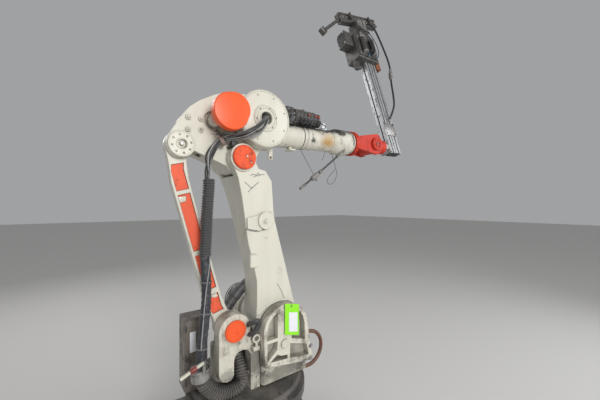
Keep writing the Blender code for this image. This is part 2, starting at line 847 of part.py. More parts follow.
def taper_back(arm):
    # The back face comes forward towards the waist and goes back a little at the foot
    for vertex in arm.data.vertices:
        if vertex.co.y > arm_near_y + arm_waist_depth / 2:
            share = (vertex.co.z - shoulder.z) / (head.z - shoulder.z)
            if share > waist_share:
                blend = (share - waist_share) / (1 - waist_share)
                depth = arm_waist_depth + (arm_top_depth - arm_waist_depth) * min(blend, 1)
            else:
                blend = max(share, 0) / waist_share
                depth = arm_foot_depth + (arm_waist_depth - arm_foot_depth) * blend
            vertex.co.y = arm_near_y + depth


def build_arm_fittings(along, across):
    # A raised band with a round bolt pad on the near face, and the stop block behind it
    centre = shoulder + along * arm_length * collar_share
    half = arm_half_width
    points = []
    for along_side, across_side in collar_shares:
        spot = centre + along * along_side * collar_band / 2 + across * across_side * half
        points.append((spot.x, spot.z))
    collar = outline_plate("arm_collar", points, arm_near_y - collar_proud, arm_near_y - seat_gap)
    pad = centre + across * half * collar_pad_share
    boss = drum("boss", "Y", (pad.x, 0, pad.z), arm_near_y - collar_proud * collar_pad_rise,
                arm_near_y - seat_gap, collar_pad_radius, steps=small_steps)
    attach(join(collar, boss), "axis_shoulder")
    spot = shoulder + along * arm_length * stop_share - across * arm_half_width * stop_side_share
    stop = block("stop_block", (spot.x - stop_size / 2, arm_near_y - stop_proud, spot.z - stop_height / 2),
                 (spot.x + stop_size / 2, arm_near_y - seat_gap, spot.z + stop_height / 2))
    attach(bevel(stop, stop_proud / 4), "axis_shoulder")


def bend_at(share):
    # How far the link stands off its pivots' line, read between the listed stations
    for (low, start), (high, end) in zip(bend_shares, bend_shares[1:]):
        if share <= high:
            return start + (end - start) * (share - low) / (high - low)
    return 0


def build_rear_link():
    # Seen along Y: an eye at each end, a bend below the top eye, and recessed panels
    top = rear_pivot
    foot = link_foot
    along = (foot - top).normalized()
    across = Vector((-along.z, 0, along.x))
    span = (foot - top).length
    half = link_width / 2

    def place(share, side):
        sway = link_bend * bend_at(share)
        point = top + along * span * share + across * (side * half - sway)
        return (point.x, point.z)

    stations = 9
    straight = 1 - 2 * link_end_share
    shares = [link_end_share + straight * n / stations for n in range(stations + 1)]
    points = arc(flat(top), link_eye_radius, -10, 200, 14)
    points += [place(share, -1) for share in shares]
    points += arc(flat(foot), link_foot_radius, 170, 400, 14)
    points += [place(share, 1) for share in reversed(shares)]
    far = link_near_y + link_thick
    link = outline_plate("rear_link", points, link_near_y, far)
    link = bevel(link, link_edge)
    for n, (start, end) in enumerate(panel_shares):
        edge = 1 - 2 * panel_rim / link_width
        steps = 4
        loop = [place(start + (end - start) * k / steps, -edge) for k in range(steps + 1)]
        loop += [place(end + (start - end) * k / steps, edge) for k in range(steps + 1)]
        pocket = outline_plate("pocket", loop, link_near_y - cut_overrun, link_near_y + panel_depth)
        link = cut(link, pocket)
        edge -= seat_gap * 4 / link_width
        inset = seat_gap / span
        loop = [place(start + inset + (end - start - 2 * inset) * k / steps, -edge) for k in range(steps + 1)]
        loop += [place(end - inset - (end - start - 2 * inset) * k / steps, edge) for k in range(steps + 1)]
        floor = link_near_y + panel_depth - seat_gap
        panel = outline_plate("link_panel_%d" % (n + 1), loop, floor - panel_thick, floor, "orange")
        attach(panel, "axis_link")
    for centre in (top, foot):
        bore = drum("bore", "Y", (centre.x, 0, centre.z), link_near_y - cut_overrun, far + cut_overrun,
                    pivot_pin_radius + pin_clearance, steps=small_steps)
        link = cut(link, bore)
    attach(link, "axis_link")


def casting_outline(start):
    # The hooked outline from the rear ear over the back to the drum seat and home
    x, z = flat(rear_pivot)
    reach = elbow.x - rear_pivot.x
    ear = pivot_cap_radius + ear_rim
    if start:
        points = [(x + start, z - ear * ear_cut_share), (x + start, z + ear)]
    else:
        points = arc((x, z), ear, 262, 160, 8)
    for share, rise in hook_shares:
        if not start or share * reach > start * hook_clear_share:
            points.append((x + share * reach, z + rise * reach))
    points += arc(flat(elbow), casting_end_radius, 115, -85, 18)
    points += arc(flat(head), casting_boss_radius, -20, boss_rear_angle, 8)
    points += [casting_under_corner()]
    return points


def casting_under_corner():
    # The corner of the underside just in front of the rear pivot
    x, z = flat(rear_pivot)
    return (x + underside_share * (elbow.x - rear_pivot.x), z - underside_drop)


def build_casting():
    near = outline_plate("elbow_casting", casting_outline(0), casting_near_y, link_near_y + link_thick)
    near = bevel(near, casting_fillet)
    far = outline_plate("far", casting_outline(far_layer_start), casting_mid_y, casting_far_y)
    far = bevel(far, casting_fillet)
    casting = join(near, far)
    slot = drum("slot", "Y", (rear_pivot.x, 0, rear_pivot.z), link_near_y - fork_gap,
                link_near_y + link_thick + cut_overrun, fork_slot_radius)
    casting = cut(casting, slot)
    ear = outline_plate("ear", far_ear_outline(), link_near_y + link_thick + fork_gap,
                        casting_far_y - fork_gap)
    casting = join(casting, ear)
    pin = drum("pin", "Y", (rear_pivot.x, 0, rear_pivot.z), casting_near_y + casting_fillet,
               casting_far_y - fork_gap, pivot_pin_radius, steps=small_steps)
    casting = join(casting, pin)
    cx = elbow.x + motor_cap_x
    cz = elbow.z + motor_cap_z
    recess = drum("recess", "Y", (cx + motor_lobe_x, 0, cz + motor_lobe_z), casting_near_y - cut_overrun,
                  casting_near_y + motor_recess_depth, motor_recess_radius)
    casting = cut(casting, recess)
    bx = elbow.x + small_boss_x
    bz = elbow.z + small_boss_z
    recess = drum("recess", "Y", (bx, 0, bz), casting_near_y - cut_overrun,
                  casting_near_y + small_recess_depth, small_recess_radius, steps=small_steps)
    casting = cut(casting, recess)
    journal = drum("journal", "Y", (head.x, 0, head.z), cheek_gap_near_y + seat_gap,
                   cheek_gap_far_y - seat_gap, head_journal_radius, steps=24)
    casting = join(casting, journal)
    attach(casting, "axis_head")
    cap = drum("rear_pivot_cap", "Y", (rear_pivot.x, 0, rear_pivot.z), casting_near_y - pivot_cap_thick,
               casting_near_y - seat_gap, pivot_cap_radius)
    cap = bevel(cap, pivot_cap_thick / 4)
    cap_face = casting_near_y - pivot_cap_thick
    dimple = drum("dimple", "Y", (rear_pivot.x, 0, rear_pivot.z), cap_face - cut_overrun,
                  cap_face + pivot_cap_thick / 2, pivot_pin_radius, steps=small_steps)
    attach(cut(cap, dimple), "axis_head")
    build_elbow_motor(cx, cz, bx, bz)
    build_drum()


def far_ear_outline():
    x, z = flat(rear_pivot)
    end = x + far_layer_start + ear_overlap
    points = arc((x, z), far_ear_radius, 270, 90, 8)
    return points + [(end, z + far_ear_radius), (end, z - far_ear_radius * ear_low_share)]


def build_elbow_motor(cx, cz, bx, bz):
    # The motor's round double cover stands clear of the drum on a narrower neck
    floor = casting_near_y + motor_recess_depth - seat_gap
    cover_far = motor_cap_near_y + motor_cap_thick
    cover = drum("elbow_motor_cover", "Y", (cx, 0, cz), motor_cap_near_y, cover_far, motor_cap_radius,
                 "orange")
    lobe = drum("lobe", "Y", (cx + motor_lobe_x, 0, cz + motor_lobe_z), motor_cap_near_y, cover_far,
                motor_cap_radius * motor_lobe_share, "orange")
    cover = join(cover, lobe)
    attach(bevel(cover, motor_cap_edge, angle=60), "axis_head")
    neck = drum("elbow_motor", "Y", (cx + motor_lobe_x, 0, cz + motor_lobe_z), cover_far + seat_gap, floor,
                motor_neck_radius, steps=small_steps)
    boss = drum("boss", "Y", (bx, 0, bz), casting_near_y - small_boss_proud,
                casting_near_y + small_recess_depth - seat_gap, small_boss_radius, steps=small_steps)
    attach(join(neck, bevel(boss, small_boss_proud / 6)), "axis_head")


def build_drum():
    far = casting_near_y - seat_gap
    edge = drum_chamfer
    profile = [(drum_hole_radius, far), (drum_radius, far), (drum_radius, drum_near_y + edge),
               (drum_radius - edge / 2, drum_near_y + edge / 4), (drum_radius - edge, drum_near_y),
               (drum_hole_radius, drum_near_y)]
    mesh_profile = [*profile, profile[0]]
    attach(turned("elbow_drum", "Y", (elbow.x, 0, elbow.z), mesh_profile), "axis_head")
    ring = [(drum_hole_radius, drum_near_y - seat_gap), (hub_ring_radius, drum_near_y - seat_gap),
            (hub_ring_radius - hub_ring_thick / 2, drum_near_y - hub_ring_thick),
            (drum_hole_radius, drum_near_y - hub_ring_thick)]
    attach(turned("drum_hub_ring", "Y", (elbow.x, 0, elbow.z), [*ring, ring[0]]), "axis_head")


def build_forearm():
    near = casting_far_y + running_gap
    housing = drum("elbow_housing", "Y", (0, 0, 0), near, elbow_housing_far_y, elbow_housing_radius)
    housing = bevel(housing, casting_fillet)
    journal = drum("journal", "Y", (0, 0, 0), casting_far_y + seat_gap, near + casting_fillet,
                   elbow_journal_radius)
    housing = join(housing, journal)
    neck = block("neck", (0, near, -neck_half),
                 (tube_start + neck_half, elbow_housing_far_y - casting_fillet, neck_half))
    housing = join(housing, bevel(neck, casting_fillet))
    stub = drum("stub", "X", (0, forearm_y, -forearm_drop), tube_start, tube_seam - running_gap, tube_radius)
    clear = drum("clear", "Y", (0, 0, 0), -cut_overrun - tube_radius, near, casting_end_radius + running_gap)
    housing = join(housing, cut(stub, clear))
    shaft = drum("shaft", "X", (0, forearm_y, -forearm_drop), tube_seam - 2 * running_gap, tube_seam - seat_gap,
                 roll_journal_radius, steps=24)
    housing = join(housing, shaft)
    carry(housing, "axis_elbow")
    low = seam_ring_radius + running_gap - forearm_drop
    valves = block("valve_block", (valve_start, forearm_y - valve_width / 2, low),
                   (valve_start + valve_length, forearm_y + valve_width / 2, low + valve_height), "dark_iron")
    foot = block("foot", (valve_start + box_bevel, forearm_y - valve_width / 4, tube_radius + seat_gap - forearm_drop),
                 (valve_start + valve_foot, forearm_y + valve_width / 4, low + valve_height / 2), "dark_iron")
    carry(join(bevel(valves, box_bevel), foot), "axis_elbow")
    # Three wrist motors behind the housing
    half = motor_spacing / 2
    for n, (x, z) in enumerate(((-half, half), (half, half), (0, -half))):
        start = elbow_housing_far_y + seat_gap
        profile = [(0, start + roll_motor_length), (roll_motor_radius * motor_end_share, start + roll_motor_length),
                   (roll_motor_radius, start + roll_motor_length - motor_step), (roll_motor_radius, start),
                   (0, start)]
        motor = turned("wrist_motor_%d" % (n + 1), "Y", (x, 0, z), profile, "dark_iron", steps=small_steps)
        carry(motor, "axis_elbow")
    # The rolling part of the forearm: tube, flared collar and wrist fork
    profile = [(0, tube_end), (tube_radius, tube_end), (tube_radius, tube_seam + seam_ring_width),
               (seam_ring_radius, tube_seam + seam_ring_width), (seam_ring_radius, tube_seam), (0, tube_seam)]
    carry(turned("forearm_tube", "X", (0, 0, 0), profile), "axis_roll")
    start = tube_end + seat_gap
    end = start + flare_length
    wide_end = end - flare_length * flare_nose_share
    profile = [(0, end), (flare_radius * flare_end_share, end), (flare_radius, wide_end),
               (flare_radius, start + flare_length * flare_rise_share), (tube_radius, start), (0, start)]
    carry(turned("forearm_collar", "X", (0, 0, 0), profile), "axis_roll")
    build_wrist_fork(end + seat_gap)


def build_wrist_fork(start):
    base = drum("wrist_fork", "X", (0, 0, 0), start, start + fork_base_thick, flare_radius, "wrist_orange")
    inner = wrist_half_width + running_gap
    for near in (-inner - fork_arm_thick, inner):
        points = [(start + fork_base_thick / 2, -fork_arm_height / 2)]
        points += arc((wrist_reach, 0), wrist_radius * fork_end_share, -80, 80, 12)
        points += [(start + fork_base_thick / 2, fork_arm_height / 2)]
        arm = outline_plate("arm", points, near, near + fork_arm_thick, "wrist_orange")
        base = join(base, arm)
    carry(base, "axis_roll")
    hub = drum("wrist_hub", "Y", (wrist_reach, 0, 0), -inner - fork_arm_thick - wrist_hub_thick,
               -inner - fork_arm_thick - seat_gap, wrist_hub_radius, "wrist_orange", steps=small_steps)
    carry(bevel(hub, wrist_hub_thick / 4), "axis_roll")


def build_wrist():
    body = drum("wrist_body", "Y", (0, 0, 0), -wrist_half_width, wrist_half_width, wrist_body_radius,
                "wrist_orange")
    nose = drum("nose", "X", (0, 0, 0), 0, wrist_nose, wrist_nose_radius, "wrist_orange", steps=24)
    body = join(body, nose)
    reach = wrist_half_width + running_gap - seat_gap
    axle = drum("axle", "Y", (0, 0, 0), -reach, reach, bend_journal_radius, steps=small_steps)
    carry(join(body, axle), "axis_bend")


def build_tool():
    # The flange turns on the wrist nose; the beam stands across it
    start = wrist_nose + seat_gap
    flange = drum("tool_flange", "X", (0, 0, 0), start, start + flange_thick, flange_radius, "steel", steps=24)
    carry(flange, "axis_tool")
    face = start + flange_thick + seat_gap
    half = adapter_side / 2
    adapter = block("tool_adapter", (face, -half, -half), (face + adapter_thick, half, half), "steel")
    carry(bevel(adapter, adapter_thick / 6), "axis_tool")
    beam_start = face + adapter_thick + seat_gap
    half = profile_side / 2
    build_profile("beam_profile_near", beam_start, -half)
    build_profile("beam_profile_far", beam_start + profile_side + profile_gap, -half)
    build_gripper()


def build_profile(name, start, near):
    # A square extrusion with a slot along each of its four sides
    half = profile_slot / 2
    side = profile_side
    deep = profile_slot_depth
    middle = side / 2
    corner = ((0, 0), (middle - half, 0), (middle - half, deep), (middle + half, deep), (middle + half, 0))
    points = []
    for quarter in range(4):
        for x, y in corner:
            x -= middle
            y -= middle
            for turn in range(quarter):
                x, y = -y, x
            points.append((x + middle, y + middle))
    beam = outline_plate(name, points, 0, beam_high - beam_low, "aluminium")
    # The outline stands in XZ; it is turned so that its length runs up Z
    beam.data.transform(Matrix.Rotation(math.radians(90), 4, "X"))
    beam.data.transform(Matrix.Translation((start, near + side, beam_low)))
    carry(beam, "axis_tool")


def tool_block(name, start, end, width, low, high, finish="grey"):
    # A block on the tool's middle plane, from start to end along the flange axis
    piece = block(name, (start, -width / 2, low), (end, width / 2, high), finish)
    return bevel(piece, box_bevel)


def build_gripper():
    low = beam_high + seat_gap
    end = grip_start + grip_length
    top = low + grip_height
    carry(tool_block("gripper_block", grip_start, end, grip_width, low, top), "axis_tool")
    carry(tool_block("beam_block", end + seat_gap, end + beam_block_width, beam_block_width, low - beam_block_drop,
                     low - beam_block_drop + beam_block_height, "brown"), "axis_tool")
    side_low = low + grip_height * jaw_low_share
    carry(tool_block("gripper_jaw_near", grip_start - jaw_length, grip_start - seat_gap, jaw_width, side_low,
                     side_low + jaw_height), "axis_tool")
    carry(tool_block("gripper_jaw_far", grip_start + box_bevel, grip_start + box_bevel + prong_side, prong_side,
                     beam_high - prong_length, beam_high), "axis_tool")
    # The crossbar slopes up from its near end, where the hanging rod is
    neck_top = top + seat_gap + grip_neck_height
    neck = tool_block("gripper_neck", grip_neck_start, grip_neck_start + grip_neck_length, grip_neck_width,
                      top + seat_gap, neck_top + cross_height)
    slope = (Matrix.Translation((grip_neck_start + grip_neck_length / 2, 0, neck_top))
             @ Matrix.Rotation(-cross_rise, 4, "Y"))
    start = cross_start - grip_neck_start - grip_neck_length / 2
    cross = tool_block("gripper_crossbar", start, start + cross_length, cross_side, 0, cross_height)
    room = block("room", (start, -grip_neck_width, -seat_gap),
                 (start + cross_length, grip_neck_width, 2 * cross_height))
    cross.data.transform(slope)
    room.data.transform(slope)
    carry(cut(neck, room), "axis_tool")
    carry(cross, "axis_tool")
    fall = Vector((-side_rod_reach, 0, -side_rod_fall))
    rod = drum("gripper_side_rod", "Z", (0, 0, 0), 0, fall.length, side_rod_radius, "grey", steps=fine_steps)
    knob = drum("knob", "Y", (0, 0, fall.length), -side_rod_end_radius, side_rod_end_radius, side_rod_end_radius,
                steps=small_steps)
    rod = join(rod, knob)
    rod.data.transform(fall.to_track_quat("Z", "Y").to_matrix().to_4x4())
    corner = slope @ Vector((start + 2 * side_rod_radius, 0, cross_height / 2))
    rod.data.transform(Matrix.Translation(corner))
    bar = block("bar", (start - seat_gap, -cross_side, -seat_gap), (start + cross_length, cross_side, cross_height))
    bar.data.transform(slope)
    carry(cut(rod, bar), "axis_tool")


def build_hose_clamp():
    # A band round the hose's upright end, with an arm to the junction box
    x, y, top = hose_route[-1]
    low = top - clamp_height
    hold = hose_radius + clamp_clearance
    band = drum("hose_clamp", "Z", (x, y, 0), low, top, hold + clamp_thick, "steel", steps=24)
    arm = block("arm", (x + hold / 2, y + hold / 2, low),
                (x + hold / 2 + clamp_arm, side_box_near - seat_gap, top))
    band = join(band, arm)
    room = drum("room", "Z", (x, y, 0), low - cut_overrun, top + cut_overrun, hold, steps=24)
    attach(cut(band, room), "axis_swivel")


def build_dress():
    # The corrugated bend comes out of the arch, passes under the lobe and rises to its clamp
    attach(tube("hose_bend", smooth_route(hose_route, hose_radius * 2), hose_radius, resolution=3),
           "axis_swivel")
    attach(tube("dress_sleeve", smooth_route(sleeve_route, sleeve_radius * 2), sleeve_radius), "axis_link")
    attach(tube("dress_conduit", smooth_route(conduit_route, conduit_radius * 2), conduit_radius), "axis_link")
    attach(tube("cable_bundle", smooth_route(bundle_route, bundle_radius * 2), bundle_radius), "axis_head")


clear_scene()
make_materials()
make_groups()
build_base()
build_swivel()
build_lower_arm()
build_rear_link()
build_casting()
build_forearm()
build_wrist()
build_tool()
build_hose_clamp()
build_dress()
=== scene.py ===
import json
import math
import random

import bmesh
import bpy
from mathutils import Matrix, Vector


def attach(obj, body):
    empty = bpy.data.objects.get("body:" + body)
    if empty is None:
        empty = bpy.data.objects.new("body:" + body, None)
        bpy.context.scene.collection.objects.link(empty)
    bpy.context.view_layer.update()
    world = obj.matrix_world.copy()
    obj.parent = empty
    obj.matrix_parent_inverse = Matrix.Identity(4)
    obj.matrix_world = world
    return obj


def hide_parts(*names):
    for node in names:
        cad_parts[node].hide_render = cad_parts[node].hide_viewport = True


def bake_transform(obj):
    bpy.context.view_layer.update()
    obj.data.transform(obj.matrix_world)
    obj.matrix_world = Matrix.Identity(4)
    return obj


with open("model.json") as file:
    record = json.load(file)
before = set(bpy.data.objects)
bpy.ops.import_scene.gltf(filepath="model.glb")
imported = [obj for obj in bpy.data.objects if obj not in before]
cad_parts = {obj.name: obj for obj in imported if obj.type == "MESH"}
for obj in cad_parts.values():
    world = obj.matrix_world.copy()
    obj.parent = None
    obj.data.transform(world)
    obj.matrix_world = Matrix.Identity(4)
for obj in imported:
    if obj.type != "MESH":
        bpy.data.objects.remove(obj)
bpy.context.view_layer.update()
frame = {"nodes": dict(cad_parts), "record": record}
joints = {joint["name"]: joint for joint in frame["record"]["behaviour"]["joints"]}
shoulder = Vector(joints["shoulder_swing"]["pos_m"])
linkFoot = Vector(joints["link_swing"]["pos_m"])
head = Vector(joints["head_pivot"]["pos_m"])
elbow = Vector(joints["elbow_pitch"]["pos_m"])
bendPoint = Vector(joints["wrist_bend"]["pos_m"])
rearPivot = head + linkFoot - shoulder
forearmTilt = math.atan2(joints["forearm_roll"]["axis"][2], joints["forearm_roll"]["axis"][0])
forearmTurn = Matrix.Rotation(-forearmTilt, 4, "Y")
forearmFrame = Matrix.Translation(joints["forearm_roll"]["pos_m"]) @ forearmTurn
wristFrame = Matrix.Translation(bendPoint) @ forearmTurn
toolRoll = math.radians(-16.4)
toolFrame = wristFrame @ Matrix.Rotation(toolRoll, 4, "X")
mergeDistance = 0.00002
flatAngle = math.radians(0.4)
print("frame loaded:", len(frame["nodes"]), "nodes")

# Camera of the photograph: level, low, close and wide
cameraView = {
    "place": (-0.86, -1.8, 1.561),
    "heading": 36.2,          # degrees from +Y towards +X
    "lens": 16.86,
    "sensor": 36,
    "shift": 5 / 600,
}


def showObject(name, data):
    shown = bpy.data.objects.new(name, data)
    bpy.context.scene.collection.objects.link(shown)
    return shown


def setCamera(view):
    data = bpy.data.cameras.new("photoCamera")
    data.lens = view["lens"]
    data.sensor_width = view["sensor"]
    data.shift_y = view["shift"]
    data.clip_start = 0.05
    data.clip_end = 200
    camera = showObject("photoCamera", data)
    camera.location = view["place"]
    camera.rotation_euler = (math.radians(90), 0, -math.radians(view["heading"]))
    bpy.context.scene.camera = camera


setCamera(cameraView)


# Node helpers
def addNode(tree, kind, **settings):
    node = tree.nodes.new(kind)
    for name, value in settings.items():
        setattr(node, name, value)
    return node


def wire(tree, start, end):
    tree.links.new(start, end)


def feed(tree, socket, value):
    # A socket takes either another socket's output or a plain value
    if isinstance(value, bpy.types.NodeSocket):
        tree.links.new(value, socket)
    else:
        socket.default_value = value


def mathNode(tree, operation, first, second=0.5, clamp=False):
    node = addNode(tree, "ShaderNodeMath", operation=operation, use_clamp=clamp)
    feed(tree, node.inputs[0], first)
    feed(tree, node.inputs[1], second)
    return node.outputs[0]


def smoothRange(tree, value, low, high):
    node = addNode(tree, "ShaderNodeMapRange", interpolation_type="SMOOTHSTEP")
    feed(tree, node.inputs["Value"], value)
    feed(tree, node.inputs["From Min"], low)
    feed(tree, node.inputs["From Max"], high)
    return node.outputs["Result"]


def mixColour(tree, factor, first, second, blend="MIX"):
    node = addNode(tree, "ShaderNodeMix", data_type="RGBA", blend_type=blend)
    feed(tree, node.inputs[0], factor)
    feed(tree, node.inputs[6], first)
    feed(tree, node.inputs[7], second)
    return node.outputs[2]


def noiseNode(tree, coordinates, scale, detail=4, roughness=0.55, distortion=0.0):
    node = addNode(tree, "ShaderNodeTexNoise")
    feed(tree, node.inputs["Vector"], coordinates)
    feed(tree, node.inputs["Scale"], scale)
    node.inputs["Detail"].default_value = detail
    node.inputs["Roughness"].default_value = roughness
    node.inputs["Distortion"].default_value = distortion
    return node.outputs["Fac"]


def stretched(tree, coordinates, scale, turn=(0, 0, 0)):
    node = addNode(tree, "ShaderNodeMapping")
    feed(tree, node.inputs["Vector"], coordinates)
    node.inputs["Scale"].default_value = scale
    node.inputs["Rotation"].default_value = turn
    return node.outputs["Vector"]


def newGroup(name, inputs, outputs):
    group = bpy.data.node_groups.new(name, "ShaderNodeTree")
    for label, kind, value in inputs:
        socket = group.interface.new_socket(label, in_out="INPUT", socket_type=kind)
        socket.default_value = value
    for label, kind in outputs:
        group.interface.new_socket(label, in_out="OUTPUT", socket_type=kind)
    start = addNode(group, "NodeGroupInput")
    end = addNode(group, "NodeGroupOutput")
    return group, start, end


def makeWeatheredPaint():
    # Shop paint: grime in blotches and runs, dust on top, corners from ambient occlusion mixed to the grime
    # colour as dirt and painted shade, chipped edges
    number, colour = "NodeSocketFloat", "NodeSocketColor"
    colours = (("Paint", (0.8, 0.8, 0.7, 1)), ("GrimeAndShadeColour", (0.1, 0.09, 0.08, 1)), ("Chip", (0.2, 0.19, 0.18, 1)))
    numbers = (("Amount", 0.3), ("Scale", 6.0), ("Runs", 0.4), ("Dust", 0.3), ("CornerDirtAndShade", 0.5), ("Chips", 0.3),
        ("Edge", 0.004), ("Smooth", 0.35), ("Dull", 0.75), ("Grain", 0.3))
    inputs = [(label, colour, value) for label, value in colours]
    inputs += [(label, number, value) for label, value in numbers]
    outputs = (("Colour", colour), ("Roughness", number), ("Normal", "NodeSocketVector"), ("GrimeAndShadeAmount", number))
    group, start, end = newGroup("weatheredPaint", inputs, outputs)
    put = start.outputs

    def times(first, second, clamp=False):
        return mathNode(group, "MULTIPLY", first, second, clamp)

    def plus(first, second):
        return mathNode(group, "ADD", first, second)

    def less(first, second):
        return mathNode(group, "SUBTRACT", first, second)

    coordinates = addNode(group, "ShaderNodeTexCoord")
    place = coordinates.outputs["Object"]
    blotch = noiseNode(group, place, put["Scale"], 8, 0.62, 0.4)
    runs = noiseNode(group, stretched(group, place, (1, 1, 0.13)), times(put["Scale"], 3.1), 5)
    speck = noiseNode(group, place, times(put["Scale"], 14.0), 5, 0.7)
    threshold = less(0.82, times(put["Amount"], 0.5))
    raw = plus(blotch, times(less(runs, 0.5), put["Runs"]))
    raw = plus(raw, times(less(speck, 0.5), 0.35))
    grimy = smoothRange(group, raw, less(threshold, 0.13), plus(threshold, 0.14))
    # Dust and grease lie on what faces up
    split = addNode(group, "ShaderNodeSeparateXYZ")
    wire(group, coordinates.outputs["Normal"], split.inputs[0])
    up = smoothRange(group, split.outputs["Z"], 0.35, 0.95)
    lying = times(times(up, smoothRange(group, blotch, 0.32, 0.62)), put["Dust"])
    # Corners found by ambient occlusion take the grime colour: partly dirt, partly painted shade
    shade = addNode(group, "ShaderNodeAmbientOcclusion", samples=4)
    shade.inputs["Distance"].default_value = 0.045
    corner = times(smoothRange(group, less(1.0, shade.outputs["AO"]), 0.25, 0.95), put["CornerDirtAndShade"])
    corner = times(corner, plus(speck, 0.35))
    # Edges are rounded in the shading, and lose paint
    soft = addNode(group, "ShaderNodeBevel", samples=4)
    wire(group, put["Edge"], soft.inputs["Radius"])
    surface = addNode(group, "ShaderNodeNewGeometry")
    dot = addNode(group, "ShaderNodeVectorMath", operation="DOT_PRODUCT")
    wire(group, soft.outputs[0], dot.inputs[0])
    wire(group, surface.outputs["Normal"], dot.inputs[1])
    edge = smoothRange(group, less(1.0, dot.outputs["Value"]), 0.02, 0.25)
    worn = times(edge, smoothRange(group, plus(times(speck, 0.6), times(blotch, 0.4)), 0.47, 0.56))
    worn = times(worn, put["Chips"], clamp=True)
    loose = times(smoothRange(group, speck, 0.69, 0.74), times(put["Chips"], 0.8), clamp=True)
    tone = mixColour(group, times(smoothRange(group, runs, 0.3, 0.7), 0.16), put["Paint"],
        mixColour(group, 0.5, put["Paint"], put["GrimeAndShadeColour"]))
    # Grime, dust and the painted corner shade all mix towards the grime colour
    dirtAndShade = mathNode(group, "MAXIMUM", times(grimy, 0.85), lying)
    dirtAndShade = mathNode(group, "MAXIMUM", dirtAndShade, corner, clamp=True)
    shown = mixColour(group, dirtAndShade, tone, put["GrimeAndShadeColour"])
    bare = mathNode(group, "MAXIMUM", worn, loose)
    shown = mixColour(group, bare, shown, put["Chip"])
    roughness = addNode(group, "ShaderNodeMix", data_type="FLOAT")
    wire(group, dirtAndShade, roughness.inputs[0])
    wire(group, put["Smooth"], roughness.inputs[2])
    wire(group, put["Dull"], roughness.inputs[3])
    pits = noiseNode(group, place, 420.0, 2)
    skin = plus(times(pits, put["Grain"]), times(speck, times(put["Grain"], 1.5)))
    skin = less(skin, times(bare, 0.5))
    bump = addNode(group, "ShaderNodeBump")
    bump.inputs["Strength"].default_value = 0.35
    bump.inputs["Distance"].default_value = 0.0012
    wire(group, skin, bump.inputs["Height"])
    wire(group, soft.outputs[0], bump.inputs["Normal"])
    results = {"Colour": shown, "Roughness": roughness.outputs[0], "Normal": bump.outputs[0], "GrimeAndShadeAmount": dirtAndShade}
    for label, socket in results.items():
        wire(group, socket, end.inputs[label])
    return group


weatheredPaint = makeWeatheredPaint()
